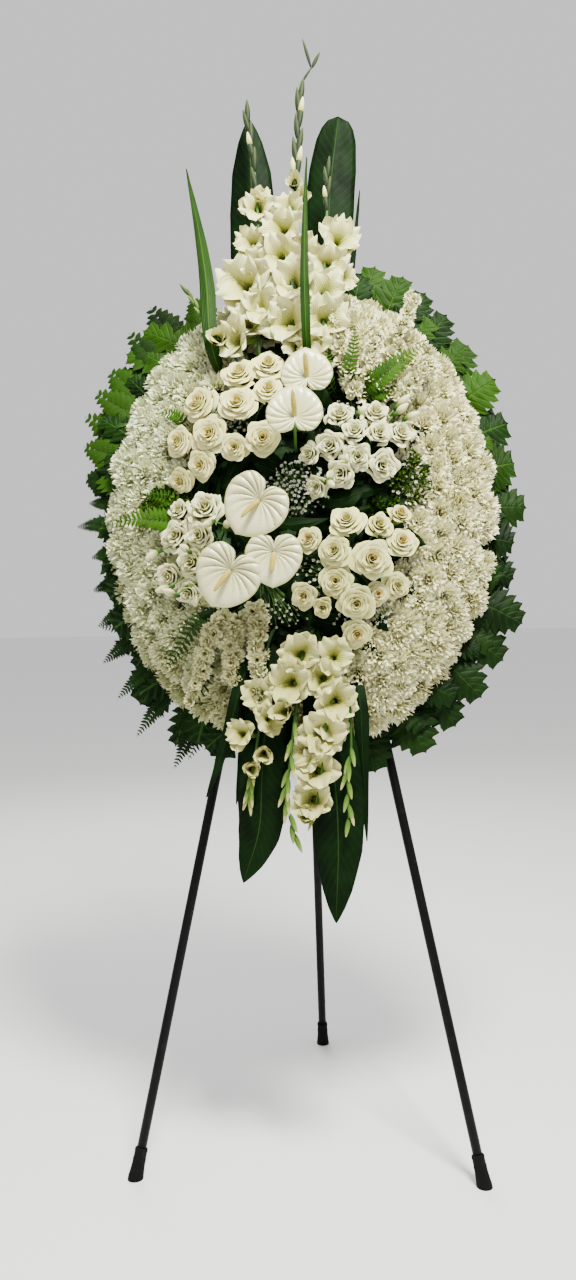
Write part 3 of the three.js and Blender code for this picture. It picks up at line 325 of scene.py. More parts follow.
def addCutLeaf(sheets, path, half, lobes, draw, stalk=0.14, widest=0.55, face=(0, 0, 1), notch=0.34):
    # Leaf cut into lobes on both sides, with fine teeth between
    crest = cutLeaf["crest"]

    def saw(v, count):
        phase = np.maximum(v - stalk, 0) / (cutLeaf["tipShare"] - stalk) * count
        phase = phase - np.floor(phase)
        return np.where(phase < crest, phase / crest, (1 - phase) / (1 - crest))

    def width(v):
        away = np.where(v < widest, (widest - v) / widest, (v - widest) / (1.04 - widest))
        frame = half * (1 - np.where(v < widest, 0.75, 0.9) * away * away)
        lobed = notch + (1 - notch) * saw(v, lobes) ** 0.8
        teeth = 1 + cutLeaf["teeth"] * (saw(v, lobes * 3) - 0.5)
        ends = ease(v, 0, stalk) * 0.9 + 0.1
        return np.maximum(0.6, frame * lobed * teeth * ends * (1 - ease(v, 0.9, 1)))

    def sweep(v):
        return cutLeaf["sweep"] * saw(v, lobes) * (1 - ease(v, 0.85, 1))

    addLeaf(sheets, path, width, 8 * lobes + 4, 7, face, cutLeaf["fold"], sweep, draw.uniform(0, 1),
            cutLeaf["wave"])


def leafletWidth(half):
    return lambda v: half * np.interp(v, [0, 0.3, 0.7, 1], [0.4, 1, 0.75, 0.02])


def addFern(sheets, path, half, pairs, draw, face=(0, 0, 1), slim=0.2):
    rib = curveThrough(path, np.linspace(0, 1, pairs + 3))
    shade = draw.uniform(0, 1)
    addTube(sheets, rib, np.linspace(1.3, 0.4, len(rib)), 4, shade)
    along = unitRows(np.gradient(rib, axis=0))
    for k in range(1, len(rib) - 1):
        t = k / (len(rib) - 1)
        across = unit(np.cross(along[k], np.asarray(face, float)))
        normal = np.cross(across, along[k])
        length = half * math.sin(math.pi * (0.12 + 0.84 * t ** 0.8)) * draw.uniform(0.9, 1.08)
        for side in (-1, 1):
            reach = across * side * length + along[k] * length * (0.3 + 0.35 * t)
            tip = rib[k] + reach - normal * length * draw.uniform(0.0, 0.2)
            middle = rib[k] + reach * 0.5 + normal * 0.06 * length
            addLeaf(sheets, [rib[k], middle, tip], leafletWidth(slim * length), 6, 3, normal, 0.15, shade=shade)


class Wiring:
    # Node tree in the making. A node is made from its type, its settings and the values of its sockets.
    def __init__(self, tree):
        self.tree = tree

    def add(self, kind, settings=None, values=(), out=0):
        node = self.tree.nodes.new(kind)
        for key, value in (settings or {}).items():
            if key == "stops":
                ramp = node.color_ramp
                while len(ramp.elements) < len(value):
                    ramp.elements.new(0.5)
                for element, (place, colour) in zip(ramp.elements, value):
                    element.position = place
                    element.color = (*colour, 1)
            else:
                setattr(node, key, value)
        for key, value in (values.items() if isinstance(values, dict) else enumerate(values)):
            shown = [s for s in node.inputs if s.enabled]
            target = next(s for s in shown if s.name == key) if isinstance(key, str) else shown[key]
            if isinstance(value, Signal):
                self.tree.links.new(value.socket, target)
            elif value is not None:
                target.default_value = value
        outs = [s for s in node.outputs if s.enabled]
        if isinstance(out, str):
            return Signal(self, next(s for s in outs if s.name == out))
        return Signal(self, outs[out] if outs else None)

    def mark(self, name):
        return self.add("ShaderNodeAttribute", {"attribute_name": name}, out="Fac")

    def place(self, part=None):
        where = self.add("ShaderNodeTexCoord", out="Object")
        return where if part is None else self.add("ShaderNodeSeparateXYZ", None, [where], out=part)

    def grain(self, scale, detail=2.0, rough=0.5):
        return self.add("ShaderNodeTexNoise", None,
                        {"Vector": self.place(), "Scale": scale, "Detail": detail, "Roughness": rough})

    def ramp(self, factor, stops):
        return self.add("ShaderNodeValToRGB", {"stops": stops}, [factor])

    def mix(self, factor, first, second, how="MIX"):
        first = (*first, 1) if isinstance(first, tuple) else first
        second = (*second, 1) if isinstance(second, tuple) else second
        settings = {"data_type": "RGBA", "blend_type": how}
        return self.add("ShaderNodeMix", settings, {"Factor": factor, "A": first, "B": second})


class Signal:
    # Socket whose sums and products become Math nodes
    def __init__(self, wiring, socket):
        self.wiring, self.socket = wiring, socket

    def math(self, how, *others):
        return self.wiring.add("ShaderNodeMath", {"operation": how}, [self, *others])

    def __add__(self, other):
        return self.math("ADD", other)

    def __mul__(self, other):
        return self.math("MULTIPLY", other)

    def __sub__(self, other):
        return self.math("SUBTRACT", other)

    def __rsub__(self, other):
        return self.wiring.add("ShaderNodeMath", {"operation": "SUBTRACT"}, [other, self])

    def __pow__(self, other):
        return self.math("POWER", other)

    def size(self):
        return self.math("ABSOLUTE")

    def wave(self):
        return self.math("SINE")

    def step(self, low, high):
        return self.wiring.add("ShaderNodeMapRange", {"interpolation_type": "SMOOTHSTEP"},
                               {"Value": self, "From Min": low, "From Max": high})


def finish(name, paint, constants=None):
    # Material whose colour, roughness and relief come from paint
    material = bpy.data.materials.new(name)
    material.use_nodes = True
    tree = material.node_tree
    tree.nodes.clear()
    wiring = Wiring(tree)
    colour, roughness, relief, depth = paint(wiring)
    shader = tree.nodes.new("ShaderNodeBsdfPrincipled")
    for key, value in (constants or {}).items():
        shader.inputs[key].default_value = value
    for key, value in (("Base Color", colour), ("Roughness", roughness)):
        if isinstance(value, Signal):
            tree.links.new(value.socket, shader.inputs[key])
        else:
            shader.inputs[key].default_value = value
    if relief is not None:
        bump = wiring.add("ShaderNodeBump", None, {"Strength": 1.0, "Distance": depth, "Height": relief})
        tree.links.new(bump.socket, shader.inputs["Normal"])
    output = tree.nodes.new("ShaderNodeOutputMaterial")
    tree.links.new(shader.outputs[0], output.inputs[0])
    return material


def petalFinish(name, look):
    # Petals, buds and stems: greener at the foot in their own colour, and darker there as painted shade deep in
    # the heads, with fine streaks along them
    def paint(w):
        along, across, layer, shade = w.mark("along"), w.mark("across"), w.mark("layer"), w.mark("shade")
        # the stops darken towards the foot: painted shade over the petals' own greener base
        base = w.ramp(along, look["stops"])
        if "heart" in look:
            near = (1 - layer.step(0.0, look["heartReach"])) * 0.6
            if "heartBy" in look:
                near = near * (shade.step(*look["heartBy"]) * 0.85 + 0.15)
            base = w.mix(near, base, look["heart"])
        if "outside" in look:
            base = w.mix(layer.step(0.62, 1.0) * (1 - along) * look["outsideAmount"], base, look["outside"])
        # painted light: the right side is made warmer and brighter and the left cooler and darker, as if lit
        # from the right
        if "sides" in look:
            shadedSideTint, litSideTint = look["sides"]
            sideLightTint = w.mix(w.place("X").step(-0.22, 0.2), shadedSideTint, litSideTint)
            base = w.mix(1.0, base, sideLightTint, "MULTIPLY")
        # painted shade: flowers low on the left are darkened as if in shadow; some greens high up are darker in
        # their own colour
        low = (1 - w.place("Z").step(0.72, 1.2)) * (1 - w.place("X").step(-0.02, 0.16) * 0.75)
        base = w.mix(low * 0.8, base, (0.72, 0.71, 0.56), "MULTIPLY")
        if "upper" in look:
            base = w.mix(w.place("Z").step(1.4, 1.56), base, look["upper"], "MULTIPLY")
        patch = w.grain(look.get("patchScale", 30)).step(0.35, 0.7)
        base = w.mix(patch * 0.25, base, look["patchColour"], "MULTIPLY")
        bloomTone = w.mark("bloom") if look.get("blooms") else shade
        base = w.mix((bloomTone - 0.5).size() * look.get("vary", 0.2), base, look["varyColour"], "MULTIPLY")
        streaks = (across * look.get("streaks", 26)).wave() * (1 - along) + w.grain(900, 3) * 0.8
        return base, w.grain(120) * 0.2 + look["rough"], streaks, look.get("relief", 0.00025)

    return finish(name, paint, {"Specular IOR Level": 0.2})


def leafFinish(name, look):
    # Leaves: a middle rib and slanting side veins over cloudy greens
    def paint(w):
        along, across, shade = w.mark("along"), w.mark("across").size(), w.mark("shade")
        cloudy = w.grain(22, 4).step(0.3, 0.7)
        base = w.mix(cloudy, look["dark"], look["light"])
        base = w.mix((shade - 0.3) * look.get("vary", 0.5), base, look["fresh"])
        veins = ((along * look["veins"] - across * look["slant"]) * (2 * math.pi)).wave() * 0.5 + 0.5
        veins = veins ** 4.0
        base = w.mix(veins * look.get("veinAmount", 0.25), base, look["vein"])
        rib = 1 - across.step(look["rib"] * 0.4, look["rib"])
        base = w.mix(rib * 0.7, base, look["vein"])
        spots = w.grain(260, 2).step(0.62, 0.78)
        base = w.mix(spots * 0.22, base, look["dark"])
        relief = veins * -0.6 - rib + w.grain(500, 3) * 0.6
        return base, w.grain(60) * 0.25 + look["rough"], relief, look.get("relief", 0.0005)

    return finish(name, paint, {"Specular IOR Level": look.get("gloss", 0.08)})


white = {
    "stops": [(0.0, (0.1, 0.13, 0.02)), (0.22, (0.36, 0.36, 0.13)),
              (0.5, (0.62, 0.6, 0.31)), (1, (0.76, 0.74, 0.46))],
    "patchColour": (0.84, 0.84, 0.68), "varyColour": (0.86, 0.83, 0.66), "rough": 0.45,
}
carnationFinish = petalFinish("carnationPetals", {
    "stops": [(0.0, (0.3, 0.29, 0.13)), (0.3, (0.58, 0.56, 0.3)),
              (0.7, (0.8, 0.79, 0.5)), (1, (0.9, 0.89, 0.63))],
    # sides are painted light: cooler and darker on the left, warmer and brighter on the right
    "sides": ((0.9, 0.94, 0.92), (1.0, 0.98, 0.94)), "patchColour": (0.84, 0.81, 0.66), "patchScale": 12,
    "varyColour": (0.92, 0.91, 0.84), "vary": 0.8, "blooms": True, "rough": 0.65,
})
creamRose = petalFinish("creamRosePetals", {
    "stops": [(0.0, (0.22, 0.24, 0.04)), (0.3, (0.52, 0.47, 0.11)),
              (0.7, (0.72, 0.66, 0.25)), (1, (0.8, 0.76, 0.38))],
    "heart": (0.74, 0.62, 0.2), "heartReach": 0.45, "outside": (0.5, 0.58, 0.26), "outsideAmount": 0.35,
    "patchColour": (0.92, 0.89, 0.76), "varyColour": (0.9, 0.87, 0.7), "rough": 0.42,
})
blushRose = petalFinish("blushRosePetals", {
    "stops": [(0.0, (0.16, 0.2, 0.03)), (0.3, (0.38, 0.36, 0.08)),
              (0.7, (0.6, 0.57, 0.21)), (1, (0.75, 0.71, 0.36))],
    "heart": (0.72, 0.44, 0.14), "heartReach": 0.45, "heartBy": (0.5, 0.9),
    "outside": (0.34, 0.46, 0.1), "outsideAmount": 0.85,
    "patchColour": (0.9, 0.88, 0.72), "varyColour": (0.86, 0.83, 0.62), "rough": 0.42,
})
whiteFinish = petalFinish("whitePetals", white)
gypsophilaFinish = petalFinish("gypsophilaPetals", {
    **white, "stops": [(0.0, (0.4, 0.42, 0.24)), (0.4, (0.8, 0.8, 0.66)), (1, (0.92, 0.92, 0.84))],
})
gladiolusFinish = petalFinish("gladiolusPetals", {
    **white,
    "stops": [(0.0, (0.16, 0.19, 0.02)), (0.3, (0.44, 0.44, 0.12)),
              (0.6, (0.64, 0.62, 0.28)), (1, (0.76, 0.74, 0.42))],
    "patchColour": (0.88, 0.87, 0.66), "streaks": 40, "relief": 0.0006,
})
budFinish = petalFinish("greenBuds", {
    "stops": [(0.0, (0.03, 0.09, 0.01)), (0.45, (0.1, 0.2, 0.025)),
              (0.8, (0.24, 0.34, 0.07)), (1, (0.48, 0.54, 0.22))],
    "patchColour": (0.8, 0.9, 0.6), "varyColour": (0.8, 0.86, 0.6), "upper": (0.13, 0.13, 0.2), "rough": 0.5,
})
stemFinish = petalFinish("greenStems", {
    "stops": [(0.0, (0.01, 0.04, 0.005)), (0.5, (0.03, 0.09, 0.01)), (1, (0.09, 0.2, 0.03))],
    "patchColour": (0.7, 0.85, 0.5), "varyColour": (0.8, 0.9, 0.6), "rough": 0.4,
})
darkLeafFinish = leafFinish("darkLeaves", {
    "dark": (0.0008, 0.0045, 0.0006), "light": (0.0026, 0.012, 0.0018), "fresh": (0.006, 0.024, 0.003),
    "vein": (0.02, 0.05, 0.008), "veins": 26.0, "slant": 3.0, "veinAmount": 0.06, "rib": 0.035,
    "rough": 0.46, "gloss": 0.05, "relief": 0.0002,
})
bladeFinish = leafFinish("bladeLeaves", {
    "dark": (0.004, 0.022, 0.0012), "light": (0.008, 0.032, 0.0014), "fresh": (0.02, 0.058, 0.003),
    "vein": (0.06, 0.13, 0.012), "veins": 0.0, "slant": 5.0, "veinAmount": 0.3, "rib": 0.1, "rough": 0.36,
})
freshFinish = leafFinish("freshLeaves", {
    "dark": (0.001, 0.006, 0.0004), "light": (0.004, 0.021, 0.0008), "fresh": (0.045, 0.125, 0.0025),
    "vein": (0.024, 0.075, 0.004), "veins": 9.0, "slant": 1.6, "veinAmount": 0.22, "rib": 0.07,
    "rough": 0.42, "relief": 0.001, "vary": 0.55,
})
# painted shade: a darker copy of the fresh leaf finish, for collar leaves low on the right
paintedShadeLeafFinish = leafFinish("freshLeavesPaintedShade", {
    "dark": (0.001, 0.006, 0.0006), "light": (0.003, 0.015, 0.001), "fresh": (0.016, 0.052, 0.002),
    "vein": (0.01, 0.034, 0.002), "veins": 9.0, "slant": 1.6, "veinAmount": 0.22, "rib": 0.06,
    "rough": 0.4, "relief": 0.0008, "vary": 0.4,
})
fernFinish = leafFinish("fernLeaves", {
    "dark": (0.006, 0.03, 0.001), "light": (0.025, 0.085, 0.002), "fresh": (0.15, 0.27, 0.006),
    "vein": (0.08, 0.16, 0.01), "veins": 6.0, "slant": 1.2, "veinAmount": 0.3, "rib": 0.12,
    "rough": 0.5, "vary": 0.5,
})
# painted shade: a darker copy of the fern finish, for ferns low on the left
paintedShadeFernFinish = leafFinish("fernLeavesPaintedShade", {
    "dark": (0.0012, 0.007, 0.001), "light": (0.004, 0.018, 0.002), "fresh": (0.012, 0.045, 0.004),
    "vein": (0.03, 0.08, 0.012), "veins": 6.0, "slant": 1.2, "veinAmount": 0.3, "rib": 0.12,
    "rough": 0.5, "vary": 0.4,
})


def spathePaint(w):
    along, across = w.mark("along"), w.mark("shade")
    base = w.ramp(along, [(0.0, (0.34, 0.36, 0.1)), (0.12, (0.54, 0.52, 0.27)), (0.85, (0.7, 0.67, 0.39)),
                          (1, (0.56, 0.56, 0.24))])
    ribs = across.step(0.0, 0.8)
    # painted shade: the valleys between the ribs are darkened
    base = w.mix((1 - ribs) * 0.85, base, (0.2, 0.2, 0.07))
    base = w.mix(w.grain(45, 4).step(0.4, 0.75) * 0.35, base, (0.5, 0.5, 0.28))
    fine = w.grain(260, 4)
    return base, w.grain(40) * 0.12 + 0.2, ribs * 0.8 + fine * 0.7, 0.0009


spatheFinish = finish("waxySpathe", spathePaint, {"Coat Weight": 0.16, "Coat Roughness": 0.2})


def spadixPaint(w):
    along = w.mark("along")
    base = w.ramp(along, [(0.0, (0.55, 0.5, 0.2)), (0.4, (0.46, 0.34, 0.03)), (1, (0.34, 0.31, 0.04))])
    knobs = w.add("ShaderNodeTexVoronoi", None, {"Vector": w.place(), "Scale": 900.0})
    return w.mix(knobs * 0.5, base, (0.5, 0.32, 0.05)), 0.55, 1 - knobs, 0.0012


spadixFinish = finish("spadix", spadixPaint)


def metalPaint(w):
    scuffs = w.grain(55, 5, 0.65).step(0.52, 0.72)
    base = w.mix(scuffs * 0.5, (0.003, 0.003, 0.0035), (0.012, 0.012, 0.013))
    return base, w.grain(90, 3) * 0.22 + 0.3, w.grain(420, 2), 0.00015


blackMetal = finish("blackPaintedTube", metalPaint, {"Specular IOR Level": 0.08})


def rubberPaint(w):
    dust = w.grain(70, 4).step(0.5, 0.8)
    base = w.mix(dust * 0.45, (0.004, 0.004, 0.0045), (0.018, 0.017, 0.016))
    return base, w.grain(30) * 0.15 + 0.7, w.grain(800, 3), 0.0003


rubber = finish("blackRubber", rubberPaint, {"Specular IOR Level": 0.08})


def steelPaint(w):
    brushed = w.add("ShaderNodeTexNoise", None, {"Vector": w.place(), "Scale": 240.0, "Detail": 4.0})
    return w.mix(brushed, (0.28, 0.29, 0.3), (0.46, 0.47, 0.48)), brushed * 0.25 + 0.24, brushed, 0.0001


steel = finish("zincSteel", steelPaint, {"Metallic": 0.95})


def boardPaint(w):
    warp = w.grain(6, 2) * 0.8
    rings = w.add("ShaderNodeTexWave", {"wave_type": "BANDS", "bands_direction": "X"},
                  {"Vector": w.place(), "Scale": 22.0, "Distortion": 9.0, "Detail": 4.0, "Detail Scale": 0.6},
                  out="Fac")
    fibres = w.grain(180, 5, 0.7)
    base = w.mix(rings * 0.6 + warp * 0.2, (0.5, 0.33, 0.16), (0.35, 0.21, 0.09))
    base = w.mix(fibres * 0.3, base, (0.2, 0.12, 0.05))
    return base, fibres * 0.2 + 0.6, fibres + rings * 0.4, 0.0004


boardFinish = finish("plywood", boardPaint)


def foamPaint(w):
    pores = w.add("ShaderNodeTexVoronoi", None, {"Vector": w.place(), "Scale": 420.0})
    base = w.mix(w.grain(18, 3), (0.012, 0.045, 0.012), (0.03, 0.085, 0.022))
    return w.mix(pores.step(0.3, 0.6) * 0.5, base, (0.01, 0.03, 0.008)), 0.9, pores, 0.0012


foamFinish = finish("floralFoam", foamPaint)
print("finishes made")


def showPiece(name, mesh, material, instead=(), body=flowerBody):
    piece = bpy.data.objects.new(name, mesh)
    bpy.context.scene.collection.objects.link(piece)
    mesh.materials.clear()
    mesh.materials.append(material)
    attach(piece, body)
    if instead:
        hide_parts(*instead)
    return piece


def thicken(piece, thickness):
    shell = piece.modifiers.new("thickness", "SOLIDIFY")
    shell.thickness, shell.offset = thickness, -1


# One tree sets heads on points that carry their facing and size
def makeScatter():
    tree = bpy.data.node_groups.new("headsOnPoints", "GeometryNodeTree")
    for name, kind in (("Places", "Geometry"), ("Heads", "Collection"), ("Size", "Float"), ("Tumble", "Float"),
                       ("Kinds", "Int"), ("Seed", "Int"), ("Finish", "Material")):
        tree.interface.new_socket(name, in_out="INPUT", socket_type="NodeSocket" + kind)
    tree.interface.new_socket("Heads", in_out="OUTPUT", socket_type="NodeSocketGeometry")
    w = Wiring(tree)
    given = tree.nodes.new("NodeGroupInput")
    take = {s.name: Signal(w, s) for s in given.outputs if s.name}
    heads = w.add("GeometryNodeCollectionInfo", None,
                  {"Collection": take["Heads"], "Separate Children": True, "Reset Children": True})
    facing = w.add("GeometryNodeInputNamedAttribute", {"data_type": "FLOAT_VECTOR"}, {"Name": "facing"})
    size = w.add("GeometryNodeInputNamedAttribute", {"data_type": "FLOAT"}, {"Name": "size"})
    turn = w.add("FunctionNodeAlignRotationToVector", {"axis": "Z"}, {"Vector": facing})
    most = w.add("ShaderNodeCombineXYZ", None, [take["Tumble"], take["Tumble"], math.pi])
    least = w.add("ShaderNodeVectorMath", {"operation": "SCALE"}, {"Vector": most, "Scale": -1.0})
    spin = w.add("FunctionNodeRandomValue", {"data_type": "FLOAT_VECTOR"},
                 {"Min": least, "Max": most, "Seed": take["Seed"]})
    spun = w.add("FunctionNodeEulerToRotation", None, [spin])
    turned = w.add("FunctionNodeRotateRotation", {"rotation_space": "LOCAL"},
                   {"Rotation": turn, "Rotate By": spun})
    last = w.add("ShaderNodeMath", {"operation": "SUBTRACT"}, [take["Kinds"], 1])
    kind = w.add("FunctionNodeRandomValue", {"data_type": "INT"}, {"Min": 0, "Max": last, "Seed": take["Seed"]})
    scale = w.add("ShaderNodeMath", {"operation": "MULTIPLY"}, [size, take["Size"]])
    placed = w.add("GeometryNodeInstanceOnPoints", None, {
        "Points": take["Places"], "Instance": heads, "Pick Instance": True, "Instance Index": kind,
        "Rotation": turned, "Scale": scale})
    tone = w.add("FunctionNodeRandomValue", {"data_type": "FLOAT"},
                 {"Min": 0.0, "Max": 1.0, "Seed": take["Seed"]})
    toned = w.add("GeometryNodeStoreNamedAttribute", {"data_type": "FLOAT", "domain": "INSTANCE"},
                  {"Geometry": placed, "Name": "bloom", "Value": tone})
    real = w.add("GeometryNodeRealizeInstances", None, [toned])
    painted = w.add("GeometryNodeSetMaterial", None, {"Geometry": real, "Material": take["Finish"]})
    result = tree.nodes.new("NodeGroupOutput")
    tree.links.new(painted.socket, result.inputs[0])
    return tree


scatterTree = makeScatter()


def headKinds(name, count, build, seed):
    # Several versions of one head or leaf, each about its own foot, that setHeads picks from
    draw = np.random.default_rng(seed)
    group = bpy.data.collections.new(name)
    for k in range(count):
        sheets = Sheets()
        build(sheets, draw)
        mesh = sheets.mesh(f"{name}{k}", place=lambda points: points * 0.001)
        group.objects.link(bpy.data.objects.new(f"{name}{k}", mesh))
    return group


def setHeads(name, heads, places, facings, sizes, material, instead=(), seed=1, tumble=0.2):
    # Runs the tree over the places and keeps what it grows as one plain mesh
    cloud = bpy.data.meshes.new(name + "Places")
    cloud.from_pydata(toFloor(np.array(places)).tolist(), [], [])
    way = cloud.attributes.new("facing", "FLOAT_VECTOR", "POINT")
    way.data.foreach_set("vector", (np.array(facings) @ cushionAxes).astype(np.float32).ravel())
    cloud.attributes.new("size", "FLOAT", "POINT").data.foreach_set("value", np.array(sizes, np.float32))
    host = bpy.data.objects.new(name + "Host", cloud)
    modifier = host.modifiers.new("heads", "NODES")
    modifier.node_group = scatterTree
    wanted = {"Heads": heads, "Size": 1.0, "Tumble": tumble, "Kinds": len(heads.objects), "Seed": seed,
              "Finish": material}
    for item in scatterTree.interface.items_tree:
        if item.in_out == "INPUT" and item.name in wanted:
            modifier[item.identifier] = wanted[item.name]
    bpy.context.scene.collection.objects.link(host)
    graph = bpy.context.evaluated_depsgraph_get()
    grown = host.evaluated_get(graph)
    mesh = bpy.data.meshes.new_from_object(grown, preserve_all_data_layers=True, depsgraph=graph)
    mesh.name = name
    bpy.data.objects.remove(host)
    return showPiece(name, mesh, material, instead)


# Carnations cover the dome in rows, five sectors in all. A row is its distance in from the rim and its count.
carnations = {
    "radius": 31.0, "height": 17.0, "sectors": 5, "firstHidden": 80,
    "rows": [(2, 52), (19, 54), (41, 50), (70, 44), (104, 37), (141, 31), (182, 26), (216, 20)],
    "bunches": {"middle": 6.0, "halfX": 186.0, "halfZ": 246.0},
    "spikes": {"middle": -4.0, "halfX": 88.0, "fromZ": 205.0},
}


def oneHead(radius, shape):
    return lambda sheets, draw: addFlower(sheets, np.zeros(3), (0, 0, 1), radius, draw, shape)


carnationHeads = headKinds("carnationHead", 5, oneHead(carnations["radius"], carnationShape), 61)


def hiddenByBunch(x, z):
    oval, band = carnations["bunches"], carnations["spikes"]
    inBunch = (x / oval["halfX"]) ** 2 + ((z - oval["middle"]) / oval["halfZ"]) ** 2 < 1
    return inBunch or (abs(x - band["middle"]) < band["halfX"] and abs(z) > band["fromZ"])


def setCarnations():
    draw = np.random.default_rng(62)
    sectors = [([], [], []) for _ in range(carnations["sectors"])]
    lengths = ovalAngles(3600)
    for row, (inward, count) in enumerate(carnations["rows"]):
        for angle in ovalAngles(count, start=0.5 * (row % 2)):
            angle = angle + draw.uniform(-0.03, 0.03)
            inwardHere = inward + draw.uniform(-4, 4)
            place, normal = overFoam(angle, inwardHere, carnations["height"] + draw.uniform(-2, 4))
            if inward > carnations["firstHidden"] and hiddenByBunch(place[0], place[1]):
                continue
            share = np.searchsorted(lengths, angle % (2 * math.pi)) / len(lengths)
            spots, ways, sizes = sectors[min(len(sectors) - 1, int(share * len(sectors)))]
            spots.append(place)
            ways.append(normal + draw.uniform(-0.12, 0.12, 3))
            sizes.append(draw.uniform(0.86, 1.1))
    for number, (spots, ways, sizes) in enumerate(sectors):
        setHeads(f"carnationBlooms{number + 1}", carnationHeads, spots, ways, sizes, carnationFinish,
                 (f"carnations_{number + 1}",), seed=70 + number)


setCarnations()
print("carnations set")

# Flamingo flowers: heart-shaped shield with deep ribs, and a spadix, all in shares of the flower's size
shield = {
    "outline": [(0, 0.86), (0.44, 0.64), (0.77, 0.2), (0.82, -0.26), (0.54, -0.66), (0.12, -0.63), (0, -0.34)],
    "columns": 160, "rows": 17, "seat": -0.16, "ribTurns": 8.2, "ribDepth": 0.16, "cup": 0.12,
    "thickness": 0.0009,  # in metres
    "spadix": ((0, -0.16, 0.0), (0, 0.08, 0.32), (0, 0.42, 0.56)), "spadixRadius": 4.3,  # the radius in mm
}
flamingoFlowers = {
    "top": {"at": (25, 187, 208), "tip": (-2, 36), "size": 50, "root": (14, 122), "wave": 3},
    "upper": {"at": (6, 118, 222), "tip": (-1, 32), "size": 54, "root": (2, 84), "wave": 5},
    "centre": {"at": (-56, -35, 228), "tip": (-28, -38), "size": 63, "root": (-48, -18), "wave": 6},
    "left": {"at": (-103, -141, 205), "tip": (-33, -56), "size": 64, "root": (-78, -92), "wave": 4},
    "lower": {"at": (-29, -117, 214), "tip": (-2, -45), "size": 54, "root": (-22, -88), "wave": 5},
}
greenStems = Sheets()


def heartOutline(count):
    tip, *half, notch = shield["outline"]
    ring = np.array([tip, *[(-x, y) for x, y in half], notch, *half[::-1], tip], float)
    middle = len(half) + 1
    # the tip and the notch stay sharp, and the two sides are smooth
    left = curveThrough(ring[:middle + 1], np.linspace(0, 1, count // 2, endpoint=False))
    right = curveThrough(ring[middle:], np.linspace(0, 1, count // 2, endpoint=False))
    return np.concatenate([left, right])


def setFlamingoFlower(name, flower):
    axes = basis((flower["tip"][0] * 0.004, flower["tip"][1] * 0.004, 1))
    tip = np.array([*flower["tip"], 0.0])
    tipward = unit(tip - axes[2] * tip.dot(axes[2]))
    across = np.cross(tipward, axes[2])
    sized = np.array([across, tipward, axes[2]]) * flower["size"]
    centre = np.array(flower["at"], float)
    seat = np.array([0, shield["seat"]])
    outline = heartOutline(shield["columns"])
    share = np.linspace(0, 1, shield["rows"])[:, None]
    flat = seat + share[..., None] * (outline[None] - seat)
    turn = np.arctan2(flat[..., 0], flat[..., 1] - shield["seat"] + 1e-9)
    turn[0] = turn[1]
    # ribs bend towards the tip as they run out
    phase = np.abs(turn) * shield["ribTurns"] + 3.4 * share ** 1.4
    phase = phase + 0.5 * (turn > 0) + 0.35 * np.sin(2.6 * turn)
    strength = 0.25 + 0.75 * ease(np.abs(turn), 0.5, 1.7)
    ribs = 1 - strength * (1 - np.abs(np.sin(phase)) ** 0.6)
    height = shield["ribDepth"] * ribs * share ** 0.7 * (1 - 0.9 * share ** 5)
    height = height + shield["cup"] * np.hypot(flat[..., 0], flat[..., 1]) ** 1.2
    height = height + 0.02 * np.sin(3 * turn + flower["wave"]) * share ** 2
    grid = centre + np.concatenate([flat, height[..., None]], axis=-1) @ sized
    sheets = Sheets()
    sheets.add(grid, 0.5, 0.0, closed=True)
    sheets.marks["shade"] = [ribs.ravel()]
    piece = showPiece(f"flamingoShield_{name}", sheets.mesh(f"flamingoShield_{name}"), spatheFinish,
                      (f"anthurium_{name}",))
    thicken(piece, shield["thickness"])
    path = [centre + np.array(point) @ sized for point in shield["spadix"]]
    places = np.linspace(0, 1, 14)
    spadix = Sheets()
    radii = shield["spadixRadius"] * np.interp(places, [0, 0.1, 0.5, 0.9, 1], [0.75, 0.95, 1, 0.72, 0.2])
    addTube(spadix, curveThrough(path, places), radii, 14)
    showPiece(f"spadix_{name}", spadix.mesh(f"spadix_{name}"), spadixFinish,
              (f"anthurium_{name}_spadix",))
    x, z = flower["root"]
    root = np.array([x, z, float(foamFront(x, z)) - 10])
    addStem(greenStems, [root, (x, z, 150), centre + np.array((0, -0.14, -0.03)) @ sized], 2.8, 2.4)


for name, flower in flamingoFlowers.items():
    setFlamingoFlower(name, flower)
print("flamingo flowers set")

